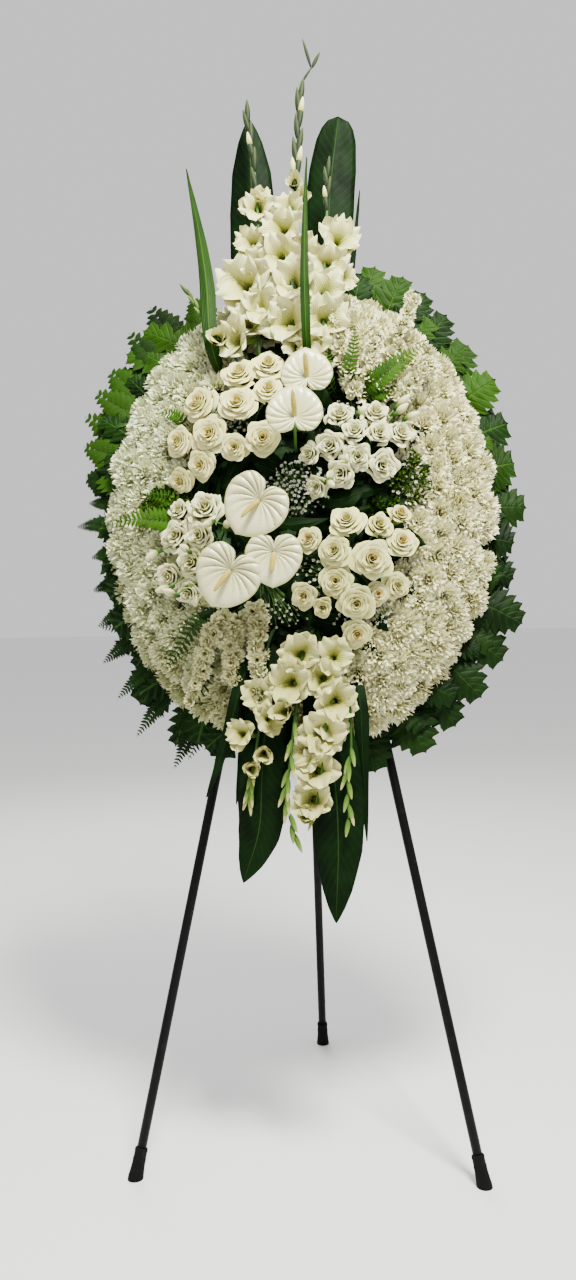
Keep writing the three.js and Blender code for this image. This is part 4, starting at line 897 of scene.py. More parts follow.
# Round heads in bunches: x, z, out and radius. A bud is x, z, out and how far it leans along x and z.
bunches = {
    "rosesUpperLeft": {
        "node": "roses_upper_left", "slot": "rose_petal", "finish": creamRose,
        "root": (-80, 128), "seed": 11, "grow": 1.07,
        "heads": [(-91, 212, 148, 30), (-93, 158, 160, 30), (-140, 110, 150, 30), (-98, 84, 158, 23),
                  (-52, 96, 164, 28), (-160, 168, 138, 30), (-44, 226, 146, 29), (-42, 180, 158, 25),
                  (-157, 60, 142, 24), (-193, 38, 130, 22), (-196, 106, 128, 25)],
    },
    "rosesLowerRight": {
        "node": "roses_lower_right", "slot": "rose_petal", "finish": blushRose,
        "root": (92, -108), "seed": 12, "grow": 1.12,
        "heads": [(85, -50, 165, 27), (123, -112, 168, 30), (66, -98, 170, 25), (66, -145, 160, 26),
                  (135, -56, 152, 24, "bud"), (170, -36, 140, 20, "bud"), (172, -80, 142, 24),
                  (98, -180, 154, 27), (132, -164, 142, 19), (163, -150, 134, 21),
                  (44, -186, 158, 18, "bud"), (14, -166, 152, 20),
                  (24, -76, 160, 20), (98, -226, 136, 22)],
    },
    "lisianthusUpperRight": {
        "node": "lisianthus_upper_right", "slot": "white_petal", "finish": whiteFinish,
        "root": (112, 84), "seed": 13, "grow": 1.08,
        "shape": lisianthusShape,
        "heads": [(76, 136, 152, 23), (134, 140, 142, 25), (100, 104, 164, 22), (140, 102, 154, 22),
                  (176, 106, 138, 24), (58, 82, 158, 24), (104, 60, 162, 24), (144, 48, 150, 26),
                  (76, 34, 158, 25), (36, 14, 152, 19), (24, 70, 152, 19)],
        "buds": [(106, 132, 164, 14, 8), (54, 20, 160, 12, -10), (168, 136, 146, 20, 14),
                 (184, 128, 142, 22, 8), (170, 150, 140, 22, 18)],
    },
    "lisianthusLeft": {
        "node": "lisianthus_left", "slot": "white_petal", "finish": whiteFinish,
        "root": (-132, -62), "seed": 14, "grow": 1.22,
        "shape": lisianthusShape,
        "heads": [(-150, -14, 148, 26), (-200, -58, 136, 25), (-158, -62, 152, 23), (-170, -106, 146, 25),
                  (-212, -124, 128, 21), (-178, -154, 134, 20), (-196, -14, 132, 19)],
        "buds": [(-172, -92, 166, -14, 10), (-196, -160, 150, -22, 8), (-132, -46, 176, -16, -8),
                 (-112, -58, 178, 10, 14), (-206, -146, 146, -24, -8), (-228, -84, 140, -20, -14)],
    },
}
calyxes = Sheets()


def setBunch(name, bunch):
    draw = np.random.default_rng(bunch["seed"])
    sheets = Sheets()
    rootX, rootZ = bunch["root"]
    foot = np.array([rootX, rootZ, float(foamFront(rootX, rootZ))])
    for x, z, out, radius, *kind in bunch["heads"]:
        centre = np.array([x, z, out], float)
        facing = np.array([(x - rootX) * 0.005, (z - rootZ) * 0.005, 1.0]) + draw.uniform(-0.12, 0.12, 3)
        shape = budRose if kind else bunch.get("shape", roseShape)
        addRose(sheets, centre, facing, radius * bunch["grow"], draw, shape)
        back = unit(facing)
        addBud(calyxes, centre - back * radius * 1.05, centre - back * radius * 0.35, radius * 0.34)
        addStem(greenStems, [foot, (foot + centre) / 2 + (0, 0, 8), centre - back * radius * 0.8], 2.0, 1.8, 5)
    for x, z, out, leanX, leanZ in bunch.get("buds", ()):
        base, leaning = np.array([x, z, out], float), np.array([leanX, leanZ, 8])
        addBud(sheets, base, base + leaning, 6.5, 10, 0.2, 1)
        addBud(calyxes, base - leaning * 0.3, base + leaning * 0.35, 4.5, 8)
        addStem(greenStems, [foot, (foot + base) / 2 - (leanX, leanZ, -10), base], 1.4, 1.1, 8)
    showPiece(name, sheets.mesh(name), bunch["finish"], (bunch["node"],))


for name, bunch in bunches.items():
    setBunch(name, bunch)
print("roses and lisianthus set")

# Gladioli: the stem's path, its buds as place, side and length, and its open florets as x, z, out and size
def evenBuds(low, high, count, length):
    return [(low + (high - low) * k / (count - 1), 1 if k % 2 else -1, length) for k in range(count)]


gladioli = {
    "gladiolusTopCentre": {
        "node": "gladiolus_top_centre", "seed": 21,
        "spikes": [{
            "path": [(2, 172, 95), (4, 230, 128), (-4, 400, 130), (-3, 500, 112), (2, 597, 92), (6, 700, 78),
                     (10, 800, 68)],
            "radius": 5, "buds": evenBuds(0.62, 0.92, 8, 54),
            "florets": [(-22, 486, 134, 30), (-10, 530, 120, 24), (-22, 430, 144, 31), (-2, 376, 156, 34),
                        (-12, 304, 160, 36), (0, 582, 102, 19, "half"), (14, 448, 126, 26), (-34, 350, 140, 30),
                        (12, 262, 150, 28), (14, 552, 104, 18, "half")],
        }],
        "tips": [((8, 790, 69), (34, 834, 65), 2.2), ((30, 826, 65), (14, 892, 60), 3),
                 ((30, 826, 65), (46, 862, 60), 3.4)],
    },
    "gladiolusTopLeft": {
        "node": "gladiolus_top_left", "seed": 22,
        "spikes": [{
            "path": [(-50, 186, 92), (-60, 250, 128), (-62, 400, 120), (-66, 540, 96), (-76, 650, 82),
                     (-87, 730, 75)],
            "radius": 4.6, "buds": evenBuds(0.66, 0.97, 6, 48),
            "florets": [(-64, 541, 110, 26), (-78, 468, 122, 25), (-92, 386, 140, 40), (-58, 338, 152, 30),
                        (-108, 280, 146, 30), (-60, 424, 130, 26), (-82, 316, 138, 28),
                        (-58, 560, 96, 18, "half")],
        }, {
            "path": [(-50, 187, 92), (-110, 262, 130), (-155, 326, 122), (-186, 380, 106)],
            "radius": 3, "buds": evenBuds(0.5, 0.98, 7, 32), "florets": [(-128, 284, 140, 22, "half")],
        }],
        "tips": [],
    },
    "gladiolusTopRight": {
        "node": "gladiolus_top_right", "seed": 23,
        "spikes": [{
            "path": [(44, 178, 92), (48, 240, 124), (50, 380, 118), (56, 516, 96), (58, 600, 88)],
            "radius": 4.6, "buds": evenBuds(0.78, 0.99, 4, 42),
            "florets": [(82, 474, 112, 31), (60, 416, 130, 29), (52, 362, 142, 31), (54, 308, 152, 33),
                        (34, 264, 150, 26), (84, 400, 112, 24)],
        }],
        "tips": [],
    },
    "gladioliBottom": {
        "node": "gladioli_bottom", "seed": 24,
        "spikes": [{
            "path": [(29, -208, 96), (12, -250, 134), (0, -340, 144), (-12, -440, 142), (-18, -490, 136),
                     (-6, -552, 122)],
            "radius": 4.6, "buds": evenBuds(0.45, 0.98, 11, 32),
            "florets": [(6, -262, 160, 30), (-14, -306, 162, 33), (-20, -352, 154, 24, "half")],
        }, {
            "path": [(30, -208, 96), (42, -262, 134), (46, -340, 136), (42, -420, 132), (22, -530, 114)],
            "radius": 4.4, "buds": [(0.97, 1, 26)],
            "florets": [(62, -264, 152, 27), (38, -300, 158, 27), (64, -336, 152, 29), (42, -388, 150, 31),
                        (30, -444, 144, 29), (22, -490, 134, 27), (58, -376, 138, 24), (14, -416, 142, 24),
                        (14, -516, 122, 20, "half")],
        }, {
            "path": [(31, -208, 96), (78, -290, 136), (86, -400, 138), (80, -450, 134), (80, -528, 118)],
            "radius": 3.4, "buds": evenBuds(0.55, 0.98, 8, 30), "florets": [],
        }],
        "tips": [],
    },
    "gladiolusBottomLeft": {
        "node": "gladiolus_bottom_left", "seed": 25,
        "spikes": [{
            "path": [(-36, -204, 98), (-48, -250, 134), (-62, -380, 134), (-74, -450, 126), (-80, -486, 118)],
            "radius": 4, "buds": evenBuds(0.7, 0.98, 7, 30),
            "florets": [(-64, -326, 148, 24), (-42, -364, 148, 21), (-94, -386, 144, 21),
                        (-54, -420, 142, 19, "half"), (-74, -444, 134, 17, "half")],
        }],
        "tips": [],
    },
}
greenBuds = Sheets()


def setGladiolus(name, bunch):
    draw = np.random.default_rng(bunch["seed"])
    petals = Sheets()
    steps = 60
    for spike in bunch["spikes"]:
        line = curveThrough(spike["path"], np.linspace(0, 1, steps))
        addStem(greenStems, spike["path"], spike["radius"] * 0.8, spike["radius"] * 0.35, 22, 8)
        for place, side, length in spike["buds"]:
            k = int(np.clip(round(place * (steps - 1)), 1, steps - 2))
            ahead = unit(line[k + 1] - line[k - 1])
            across = unit(np.cross(ahead, (0, 0, 1.0)))
            upright = line[k][1] > 0  # the buds of rising spikes are slimmer, closer and greener
            leanTo = ahead + across * side * draw.uniform(0.14, 0.3) * (0.5 if upright else 1)
            leanTo = unit(leanTo + np.array([0, 0, draw.uniform(0.05, 0.2)]))
            tip = line[k] + leanTo * length
            radius = (0.105 if upright else 0.14) * length
            addBud(greenBuds, line[k] - leanTo * 2, tip, radius, 8, draw.uniform(0, 1))
            if draw.uniform(0, 1) < (0.12 if upright else 0.6):
                base = line[k] + leanTo * length * 0.45
                addBud(petals, base, tip + leanTo * length * 0.16, 0.1 * length, 8, 0.5, 1)
        for x, z, out, size, *kind in spike["florets"]:
            centre = np.array([x, z, out], float)
            foot = line[np.argmin(np.linalg.norm(line - centre, axis=1))]
            facing = (centre - foot) * 0.014 + np.array([0, 0, 1.0]) + draw.uniform(-0.2, 0.2, 3)
            addFlower(petals, centre, facing, size * 1.32, draw, halfOpenShape if kind else gladiolusShape)
            back = unit(facing)
            addBud(greenBuds, foot, centre - back * size * 1.2, size * 0.2, 8)
    for base, tip, radius in bunch["tips"]:
        addBud(greenBuds, base, tip, radius)
    showPiece(name, petals.mesh(name), gladiolusFinish, (bunch["node"],))


for name, bunch in gladioli.items():
    setGladiolus(name, bunch)
print("gladioli set")

# Stock: ruffled florets packed round a stem. A spike is its path and its count of florets.
stockFloret = {"radius": 19.0, "away": 13, "scatter": 4, "from": 0.26}
stockHeads = headKinds("stockFloret", 4, oneHead(stockFloret["radius"], stockShape), 81)
stocks = {
    "stockUpperRight": {"node": "stock_upper_right", "spikes": [
        ([(122, 152, 88), (98, 190, 128), (80, 262, 134), (68, 326, 122)], 22),
        ([(124, 153, 88), (126, 200, 128), (132, 250, 126), (136, 292, 114)], 17),
        ([(125, 152, 88), (150, 196, 130), (178, 276, 124), (202, 356, 106)], 25),
        ([(125, 151, 88), (172, 172, 128), (210, 212, 120), (230, 250, 108)], 17)]},
    "stockLowerLeft": {"node": "stock_lower_left", "spikes": [
        ([(-87, -170, 96), (-68, -196, 130), (-62, -262, 134), (-60, -330, 126)], 20),
        ([(-89, -170, 96), (-126, -206, 130), (-154, -258, 122), (-174, -326, 104)], 22),
        ([(-88, -171, 96), (-98, -214, 130), (-106, -254, 126), (-108, -300, 118)], 17)]},
}


def setStock(name, stock):
    draw = np.random.default_rng(82)
    spots, ways, sizes = [], [], []
    for path, count in stock["spikes"]:
        addStem(greenStems, path, 3.2, 1.6, 12)
        places = np.linspace(stockFloret["from"], 1.0, count)
        line = curveThrough(path, places)
        ahead = np.gradient(line, axis=0)
        for k in range(count):
            axes = basis(ahead[k])
            turn = goldenTurn * k
            side = axes[0] * math.cos(turn) + axes[1] * math.sin(turn)
            way = unit(side * 0.8 + np.array([0, 0, 0.75]) + axes[2] * 0.25)
            size = 1.12 - 0.45 * places[k]
            scatter = draw.uniform(-stockFloret["scatter"], stockFloret["scatter"], 3)
            spots.append(line[k] + way * stockFloret["away"] * size + scatter)
            ways.append(way)
            sizes.append(size * draw.uniform(0.9, 1.12))
    setHeads(name, stockHeads, spots, ways, sizes, whiteFinish, (stock["node"],), 83, 0.35)


for name, stock in stocks.items():
    setStock(name, stock)
print("stock set")

# Broad and narrow leaves, given thickness. Each leaf is its path and its half width along it.
leafThickness = 0.0008
broadLeaves = {
    "leafTopLeft": (("leaf_top_left",), darkLeafFinish, "dark_leaf", [
        ([(-70, 356, 14), (-84, 440, 16), (-84, 600, 24), (-88, 756, 34)], paddleWidth(42))]),
    "leavesTopRight": (("leaves_top_right",), darkLeafFinish, "dark_leaf", [
        ([(50, 356, 14), (54, 450, 16), (60, 600, 22), (78, 752, 30)], paddleWidth(45, 1.0)),
        ([(54, 366, 14), (88, 420, 9), (102, 500, 11), (114, 612, 16)], strapWidth(6))]),
    "bladeTopLeft": (("blade_top_left",), bladeFinish, "blade_leaf", [
        ([(-118, 214, 60), (-140, 268, 136), (-152, 392, 122), (-170, 500, 96), (-198, 638, 72)],
         strapWidth(14))]),
    "bladeTopCentre": (("blade_top_centre",), bladeFinish, "blade_leaf", [
        ([(22, 218, 60), (24, 240, 176), (22, 350, 196), (22, 470, 172), (25, 598, 150)], strapWidth(8))]),
    "leavesBottomLeft": (("leaves_bottom_left",), darkLeafFinish, "dark_leaf", [
        ([(-40, -232, 88), (-44, -262, 120), (-58, -440, 116), (-66, -540, 96), (-94, -626, 84)],
         paddleWidth(40)),
        ([(-41, -232, 88), (-80, -272, 124), (-118, -400, 122), (-152, -488, 102)], strapWidth(13)),
        ([(-60, -250, 80), (-84, -330, 106), (-92, -420, 104), (-104, -500, 92)], strapWidth(12)),
        ([(-20, -250, 80), (-24, -330, 100), (-22, -420, 100), (-36, -520, 90)], strapWidth(14))]),
    "leafBottomRight": (("leaf_bottom_right",), darkLeafFinish, "dark_leaf", [
        ([(20, -240, 56), (30, -262, 118), (56, -440, 116), (62, -560, 94), (56, -690, 80)], paddleWidth(45)),
        ([(84, -250, 70), (100, -330, 102), (104, -430, 100), (108, -560, 86)], strapWidth(13)),
        ([(60, -260, 70), (66, -340, 96), (74, -440, 96), (70, -540, 84)], strapWidth(15))]),
    "leavesFolded": (("leaves_folded",), darkLeafFinish, "dark_leaf", [
        ([(-11, 42, 98), (-40, 66, 134), (-80, 82, 136), (-112, 40, 132), (-126, 8, 118)], strapWidth(17)),
        ([(-9, 42, 98), (2, 64, 134), (20, 50, 140), (44, 26, 138)], strapWidth(13)),
        ([(-9, 41, 98), (56, -4, 134), (110, 8, 136), (156, 18, 126)], strapWidth(17)),
        ([(-10, 41, 98), (-24, -36, 136), (14, -44, 142), (58, -34, 136)], strapWidth(13)),
        ([(-60, 60, 96), (-92, 70, 124), (-118, 40, 122), (-140, -2, 112)], strapWidth(15)),
        ([(8, 96, 98), (26, 76, 126), (48, 44, 132), (70, 8, 126)], strapWidth(12)),
        ([(30, -10, 98), (60, -18, 120), (96, -20, 126), (128, -14, 122)], strapWidth(14))]),
}
for name, (nodes, material, slot, leaves) in broadLeaves.items():
    sheets = Sheets()
    for number, (path, width) in enumerate(leaves):
        addLeaf(sheets, path, width, rows=64, cols=11, fold=0.16, shade=0.2 + 0.15 * number, wave=2.0)
    thicken(showPiece(name, sheets.mesh(name), material, nodes), leafThickness)
print("broad leaves set")

# Ferns on the cushion. A frond is its path, its half width and its pairs of leaflets.
fernDraw = np.random.default_rng(91)
ferns = {
    "fernsUpperRight": (("ferns_upper_right",), fernFinish, "fern", [
        ([(97, 184, 98), (130, 190, 146), (176, 226, 148), (224, 268, 122)], 22, 22),
        ([(96, 185, 98), (90, 206, 146), (100, 250, 154), (104, 300, 140)], 15, 18),
        ([(70, 186, 100), (58, 200, 150), (56, 230, 152), (60, 266, 142)], 12, 14),
        ([(108, 170, 98), (130, 172, 138), (150, 178, 140), (178, 190, 132)], 15, 14)]),
    "greensLeft": (("greens_left",), fernFinish, "fern", [
        ([(-178, -34, 86), (-204, -32, 126), (-262, -26, 132), (-330, -28, 102)], 22, 22),
        ([(-179, -33, 86), (-200, -2, 126), (-226, 10, 132), (-256, 14, 128)], 17, 12),
        ([(-182, 120, 84), (-196, 148, 116), (-212, 158, 120), (-238, 164, 112)], 13, 12)]),
    # the lower left ferns take the painted shade copy of the fern finish
    "fernsLowerLeft": (("ferns_lower_left",), paintedShadeFernFinish, "dark_leaf", [
        ([(-143, -180, 82), (-164, -200, 124), (-194, -244, 124), (-222, -280, 110)], 17, 16),
        ([(-142, -181, 82), (-146, -216, 118), (-152, -300, 114), (-192, -352, 94)], 15, 18),
        ([(-120, -176, 86), (-132, -200, 126), (-140, -232, 124), (-150, -262, 116)], 13, 12)]),
}
for name, (nodes, material, slot, fronds) in ferns.items():
    sheets = Sheets()
    for path, half, pairs in fronds:
        addFern(sheets, path, half, pairs, fernDraw)
    showPiece(name, sheets.mesh(name), material, nodes)

# Collar of leaves round the rim. A tip is x, z, out, half width and lobes.
collarBunches = {
    "left_top": [(-196, 418, 12, 30, 3), (-275, 404, 16, 34, 4), (-312, 352, 24, 28, 3),
                 (-350, 284, 12, 34, 4)],
    "left_upper": [(-372, 240, 22, 30, 3), (-394, 200, 10, 30, 3), (-392, 140, 20, 32, 3),
                   (-390, 84, 10, 32, 3)],
    "left_lower": [(-380, 34, 22, 26, 3), (-404, -6, 10, 28, 5), (-374, -66, 20, 26, 4),
                   (-372, -124, 10, 28, 4), (-360, -190, 20, 26, 4)],
    "left_bottom": [(-352, -254, 12, 28, 4), (-322, -318, 22, 26, 3), (-290, -384, 12, 28, 4),
                    (-222, -440, 20, 28, 4), (-150, -446, 12, 24, 3)],
    "right_top": [(140, 466, 12, 32, 3), (190, 440, 22, 30, 3), (230, 410, 12, 28, 3), (266, 362, 22, 30, 3)],
    "right_upper": [(304, 308, 12, 38, 3), (348, 238, 22, 34, 3), (368, 160, 12, 36, 3), (376, 84, 22, 36, 3)],
    "right_lower": [(394, 6, 12, 34, 3), (370, -58, 22, 30, 4), (368, -120, 12, 30, 4), (380, -200, 22, 32, 4)],
    "right_bottom": [(346, -262, 12, 34, 3), (306, -326, 22, 32, 3), (262, -374, 12, 32, 3),
                     (210, -418, 22, 34, 3), (124, -450, 12, 34, 3)],
}
# painted shade: the collar leaves low on the left and right get the darker copies of the fern and fresh leaf
# finishes
collarLooks = {
    "left_lower": paintedShadeFernFinish, "left_bottom": paintedShadeFernFinish,
    "right_lower": paintedShadeLeafFinish, "right_bottom": paintedShadeLeafFinish,
}
collarFill = {"perTip": 3, "shortest": 34, "fernHalf": 17, "fernPairs": 13}


def rimSpot(angle, out=9.0, beyond=7.0):
    halfX, halfZ = cushion["foamHalf"]
    return np.array([(halfX + beyond) * math.cos(angle), (halfZ + beyond) * math.sin(angle), out])


def rimAngle(x, z):
    halfX, halfZ = cushion["foamHalf"]
    return math.atan2(z / halfZ, x / halfX)


def shortTurn(angle):
    return math.atan2(math.sin(angle), math.cos(angle))  # the same turn, half a round at most


def setCollar(name, tips, seed):
    draw = np.random.default_rng(seed)
    inPaintedShade = collarLooks.get(name) is paintedShadeFernFinish
    cut, fern = Sheets(), Sheets()
    angles = [rimAngle(x, z) for x, z, *_ in tips]
    angles = [angles[0] + shortTurn(angle - angles[0]) for angle in angles]
    for (x, z, out, half, lobes), angle in zip(tips, angles):
        root, tip = rimSpot(angle, 9, 0), np.array([x, z, out], float)
        bend = (root + tip) / 2 + (0, 2, 5)
        if inPaintedShade:
            addFern(fern, [root, bend, tip], half * 0.62, 20, draw, slim=0.26)
            addCutLeaf(cut, [root, bend + (0, 0, -6), root + (tip - root) * 0.6], half * 0.8, lobes, draw)
        elif name in ("left_top", "left_upper"):
            addFern(cut, [root, bend, tip], half * 1.1, 9, draw, slim=0.36)
            under = [root, bend + (0, 0, -7), root + (tip - root) * 0.8]
            addCutLeaf(cut, under, half * 1.1, 4, draw, stalk=0.08)
        else:
            addCutLeaf(cut, [root, bend, tip], half * 1.4, lobes + 3, draw, stalk=0.06, notch=0.7, widest=0.42)
    # smaller leaves fill the rim between the tips, each as long as its nearest tip allows
    low, high = min(angles), max(angles)
    pad = 0.5 * (high - low) / (len(angles) - 1)
    count = len(tips) * collarFill["perTip"]
    halfX, halfZ = cushion["foamHalf"]
    for k in range(count):
        angle = low - pad + (high - low + 2 * pad) * (k + 0.5) / count
        root = rimSpot(angle, draw.uniform(2, 18), -6)
        tipX, tipZ, *_ = min(tips, key=lambda spot: abs(shortTurn(rimAngle(*spot[:2]) - angle)))
        reach = np.hypot(tipX, tipZ) - np.hypot(*rimSpot(rimAngle(tipX, tipZ))[:2])
        outward = unit(np.array([math.cos(angle) * halfZ, math.sin(angle) * halfX, 0]))
        side = np.array([-outward[1], outward[0], 0]) * draw.uniform(-0.5, 0.5)
        length = max(collarFill["shortest"], reach * draw.uniform(0.62, 0.9))
        tip = root + (outward + side) * length + (0, 0, draw.uniform(-14, 16))
        face = np.array([draw.uniform(-0.4, 0.4), draw.uniform(-0.2, 0.5), 1.0])
        bend = (root + tip) / 2 + (0, 0, draw.uniform(2, 12))
        if inPaintedShade and k % 2:
            addFern(fern, [root, bend, tip], collarFill["fernHalf"], collarFill["fernPairs"], draw, face)
        else:
            addCutLeaf(cut, [root, bend, tip], draw.uniform(24, 40), 4 + k % 3, draw, stalk=0.06, face=face,
                       notch=draw.uniform(0.45, 0.8))
    showPiece(f"collarLeaves_{name}", cut.mesh(f"collarLeaves_{name}"), collarLooks.get(name, freshFinish),
              (f"collar_{name}",))
    if fern.total:
        showPiece(f"collarFerns_{name}", fern.mesh(f"collarFerns_{name}"), paintedShadeFernFinish)


for seed, (name, tips) in enumerate(collarBunches.items()):
    setCollar(name, tips, 100 + seed)
print("collar set")

# Gypsophila: a cloud of tiny heads on thin stalks in the dark middle, and sparse ones elsewhere
gypsophila = {"radius": 3.1, "dome": 14, "stalk": 0.8, "stalkTip": 0.5}
tinyHeads = headKinds("tinyBloom", 3, oneHead(gypsophila["radius"], tinyShape), 111)
clouds = [  # root, middle and half size as x and z, then how far out and the count of heads
    ((6, 14), (2, 16), (52, 48), 154, 140), ((-140, 150), (-134, 142), (40, 30), 136, 40),
    ((-90, 128), (-100, 122), (44, 20), 140, 34), ((100, -150), (104, -196), (60, 22), 134, 46),
    ((60, -120), (30, -130), (34, 34), 146, 30), ((180, 30), (190, 34), (34, 52), 122, 54),
    ((100, 90), (96, 150), (60, 24), 134, 30), ((-60, -120), (-20, -190), (40, 26), 140, 34),
    ((180, -110), (190, -110), (22, 44), 118, 34), ((-150, 318), (-152, 366), (26, 16), 46, 30),
]


def setClouds():
    draw = np.random.default_rng(112)
    spots, ways, sizes = [], [], []
    for (rootX, rootZ), (midX, midZ), (halfX, halfZ), out, count in clouds:
        root = np.array([rootX, rootZ, float(foamFront(rootX, rootZ))])
        for k in range(count):
            turn, reach = goldenTurn * k, math.sqrt((k + 0.5) / count) * draw.uniform(0.85, 1.15)
            x = midX + halfX * reach * math.cos(turn)
            z = midZ + halfZ * reach * math.sin(turn)
            head = np.array([x, z, out - gypsophila["dome"] * reach * reach + draw.uniform(-12, 8)])
            way = np.array([(x - rootX) * 0.012, (z - rootZ) * 0.012, 1.0]) + draw.uniform(-0.3, 0.3, 3)
            spots.append(head)
            ways.append(way)
            sizes.append(draw.uniform(0.6, 1.1))
            path = [root, (root + head) / 2 + draw.uniform(-6, 6, 3), head]
            addStem(greenStems, path, gypsophila["stalk"], gypsophila["stalkTip"], 4, 3)
    setHeads("gypsophilaBlooms", tinyHeads, spots, ways, sizes, gypsophilaFinish,
             ("gypsophila",), 113, 0.5)


setClouds()

# Low leaves that cover the foam between the flowers, and clumps of fine fresh green
lowGreens = {
    "count": 330, "halfX": 206, "halfZ": 268, "out": (-1, 14),
    "path": [(0, 0, 0), (0, 16, 9), (0, 34, 10), (0, 52, 2)], "half": 15,
}
# A clump is its middle and half size as x and z, then how far out and its count
freshGreens = {
    "blades": 5, "half": 2.6, "dome": 16,
    "clumps": [(-218, 4, 42, 26, 124, 90), (190, 30, 30, 46, 118, 90),
               (148, -14, 30, 14, 126, 36), (-150, 84, 20, 16, 124, 24)],
}


def lowLeafWidth(v):
    return lowGreens["half"] * np.interp(v, [0, 0.15, 0.45, 0.8, 1], [0.1, 0.6, 1, 0.55, 0.02])


def tuftWidth(v):
    return freshGreens["half"] * np.sin(math.pi * (0.1 + 0.85 * v))


def lowLeaf(sheets, draw):
    addLeaf(sheets, lowGreens["path"], lowLeafWidth, rows=9, cols=5, fold=0.2, shade=draw.uniform(0, 1),
            wave=2.5)


def tuft(sheets, draw):
    for k in range(freshGreens["blades"]):
        turn = 2 * math.pi * k / freshGreens["blades"] + draw.uniform(-0.4, 0.4)
        reach = np.array([math.cos(turn), math.sin(turn), 0]) * draw.uniform(5, 9)
        tip = reach + np.array([0, 0, draw.uniform(5, 11)])
        addLeaf(sheets, [np.zeros(3), tip * 0.6 + (0, 0, 2), tip], tuftWidth, rows=4, cols=3,
                face=(-tip[1], tip[0], 4), fold=0.2, shade=draw.uniform(0, 1))


lowLeaves = headKinds("lowLeaf", 4, lowLeaf, 121)
tufts = headKinds("tuft", 4, tuft, 122)


def setGreens():
    draw = np.random.default_rng(123)
    spots, ways, sizes = [], [], []
    for k in range(lowGreens["count"]):
        reach, turn = math.sqrt((k + 0.5) / lowGreens["count"]), goldenTurn * k
        x, z = lowGreens["halfX"] * reach * math.cos(turn), lowGreens["halfZ"] * reach * math.sin(turn)
        spots.append((x, z, float(foamFront(x, z)) + draw.uniform(*lowGreens["out"])))
        ways.append((draw.uniform(-0.6, 0.6), draw.uniform(-0.6, 0.6), 1.0))
        sizes.append(draw.uniform(0.7, 1.15))
    setHeads("lowLeaves", lowLeaves, spots, ways, sizes, darkLeafFinish, (), 124, 0.5)
    spots, ways, sizes = [], [], []
    for midX, midZ, halfX, halfZ, out, count in freshGreens["clumps"]:
        for k in range(count):
            reach, turn = math.sqrt((k + 0.5) / count), goldenTurn * k
            x, z = midX + halfX * reach * math.cos(turn), midZ + halfZ * reach * math.sin(turn)
            spots.append((x, z, out - freshGreens["dome"] * reach ** 2 + draw.uniform(-8, 6)))
            ways.append(((x - midX) * 0.012, (z - midZ) * 0.012, 1.0))
            sizes.append(draw.uniform(0.8, 1.3))
    setHeads("freshTufts", tufts, spots, ways, sizes, fernFinish, (), 125, 0.5)


setGreens()
showPiece("flowerStems", greenStems.mesh("flowerStems"), stemFinish)
showPiece("gladiolusBuds", greenBuds.mesh("gladiolusBuds"), budFinish)
showPiece("calyxes", calyxes.mesh("calyxes"), stemFinish)
print("fillers set")

# Stand: round tubes and flared rubber feet, in metres. A row of the foot is a distance up the leg and a radius.
# The tubes' place in the head and the hinge are places on the cushion, in mm.
stand = {
    "tube": 0.008, "bevel": 0.0008, "sides": 40, "inset": 0.026, "rows": 9,
    "foot": [(0.000, 0.0130), (0.004, 0.0131), (0.010, 0.0122), (0.028, 0.0107), (0.030, 0.0111),
             (0.033, 0.0111), (0.035, 0.0106), (0.044, 0.0104), (0.0455, 0.0109), (0.048, 0.0109),
             (0.050, 0.0103), (0.051, 0.0086)],
    "headAt": (13.677, 240.8, -18.3), "hingeAt": (0, 286, -40), "rearFrom": 0.025,
    "frontFoot": (0.289, -0.233), "rearFoot": 0.314,
}


def asGiven(points):
    return points


def setLeg(name, top, foot, body):
    down, bevel = unit(foot - top), stand["bevel"]
    length = np.linalg.norm(foot - top) - stand["inset"]
    tube = Sheets()
    between = np.linspace(0, length, stand["rows"])[1:-1]
    path = [top + down * far for far in (0, bevel, *between, length - bevel, length)]
    radii = [stand["tube"] - bevel, *[stand["tube"]] * (len(path) - 2), stand["tube"] - bevel]
    addTube(tube, path, radii, stand["sides"])
    showPiece(f"tube_{name}", tube.mesh(f"tube_{name}", asGiven), blackMetal,
              (f"leg_{name}",), body)
    shoe = Sheets()
    path = [foot - down * far for far, _ in stand["foot"]]
    addTube(shoe, path, [radius for _, radius in stand["foot"]], stand["sides"])
    # the sole is cut level with the floor
    corners = shoe.points[0]
    sole = corners[:stand["sides"]]
    corners[:stand["sides"]] = sole - down * (sole[:, 2] / down[2])[:, None]
    corners[:, 2] = np.maximum(corners[:, 2], 0)
    showPiece(f"rubberFoot_{name}", shoe.mesh(f"rubberFoot_{name}", asGiven), rubber,
              (f"foot_{name}",), body)


for side, name in ((-1, "front_left"), (1, "front_right")):
    across, height, out = stand["headAt"]
    footX, footY = stand["frontFoot"]
    setLeg(name, toFloor([(side * across, height, out)])[0], np.array([side * footX, footY, 0]), flowerBody)
hinge, rearFoot = toFloor([stand["hingeAt"]])[0], np.array([0, stand["rearFoot"], 0])
setLeg("rear", hinge + unit(rearFoot - hinge) * stand["rearFrom"], rearFoot, legBody)

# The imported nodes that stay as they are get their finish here. The clips are steel.
carried = {
    "stand_head": blackMetal, "rear_leg_knuckle": blackMetal, "hinge_pin": steel,
    "base_board": boardFinish, "foam_pad": foamFinish,
}
for name, node in frame["nodes"].items():
    if name.startswith("clip_") or name in carried:
        node.data.materials.clear()
        node.data.materials.append(carried.get(name, steel))
print("stand set")

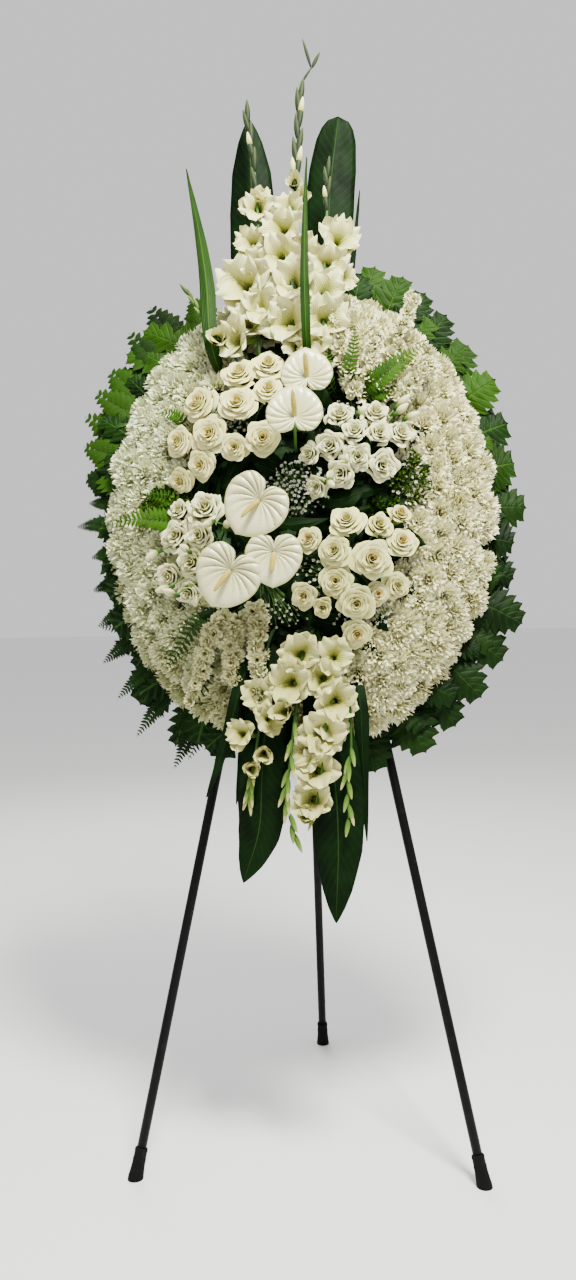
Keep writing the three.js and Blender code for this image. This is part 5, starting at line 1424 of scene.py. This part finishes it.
# Camera, floor and light
view = {
    "place": (0.122, -1.92996, 0.96004), "yaw": 4.58, "pitch": 2.1, "roll": 1.2, "sensor": 36, "far": 60,
    "lensInFrame": 1050, "frameHigh": 1280,  # focal length and frame height, both in pixels
}
yaw, pitch, roll = (math.radians(view[key]) for key in ("yaw", "pitch", "roll"))
forward = Vector((-math.sin(yaw) * math.cos(pitch), math.cos(yaw) * math.cos(pitch), -math.sin(pitch)))
level = Vector((math.cos(yaw), math.sin(yaw), 0))
upright = level.cross(forward)
sideways = level * math.cos(roll) - upright * math.sin(roll)
upwards = level * math.sin(roll) + upright * math.cos(roll)
cameraData = bpy.data.cameras.new("camera")
cameraData.lens = view["sensor"] * view["lensInFrame"] / view["frameHigh"]
cameraData.sensor_width, cameraData.clip_end = view["sensor"], view["far"]
camera = bpy.data.objects.new("camera", cameraData)
camera.matrix_world = Matrix((
    (sideways.x, upwards.x, -forward.x, view["place"][0]),
    (sideways.y, upwards.y, -forward.y, view["place"][1]),
    (sideways.z, upwards.z, -forward.z, view["place"][2]),
    (0, 0, 0, 1),
))
bpy.context.scene.collection.objects.link(camera)
bpy.context.scene.camera = camera

floorHalf = 30
floorMesh = bpy.data.meshes.new("floor")
floorMesh.from_pydata([(x * floorHalf, y * floorHalf, 0) for x, y in ((-1, -1), (1, -1), (1, 1), (-1, 1))], [],
                      [(0, 1, 2, 3)])
floor = bpy.data.objects.new("floor", floorMesh)
floorMesh.materials.append(finish("paleFloor", lambda w: ((0.86, 0.86, 0.86, 1), 0.8, None, 0)))
bpy.context.scene.collection.objects.link(floor)

aimedAt = Vector((0, -0.05, 1.0))
worldStrength = 0.88
lights = {
    "key": {"place": (0.55, -1.3, 3.1), "size": 0.6, "power": 225, "colour": (0.97, 0.985, 0.87)},
    "fill": {"place": (-2.6, -1.6, 1.9), "size": 2.2, "power": 5, "colour": (0.97, 0.98, 1.0)},
    "back": {"place": (-0.8, 2.6, 2.6), "size": 1.6, "power": 60, "colour": (1.0, 1.0, 1.0)},
}
for name, light in lights.items():
    lamp = bpy.data.lights.new(name, "AREA")
    lamp.size, lamp.energy, lamp.color = light["size"], light["power"], light["colour"]
    holder = bpy.data.objects.new(name, lamp)
    holder.location = light["place"]
    aim = aimedAt - Vector(light["place"])
    holder.rotation_euler = aim.to_track_quat("-Z", "Y").to_euler()
    bpy.context.scene.collection.objects.link(holder)
world = bpy.data.worlds.new("studio")
world.use_nodes = True
world.node_tree.nodes["Background"].inputs["Color"].default_value = (1.0, 1.0, 1.0, 1)
world.node_tree.nodes["Background"].inputs["Strength"].default_value = worldStrength
bpy.context.scene.world = world

print("scene ready")
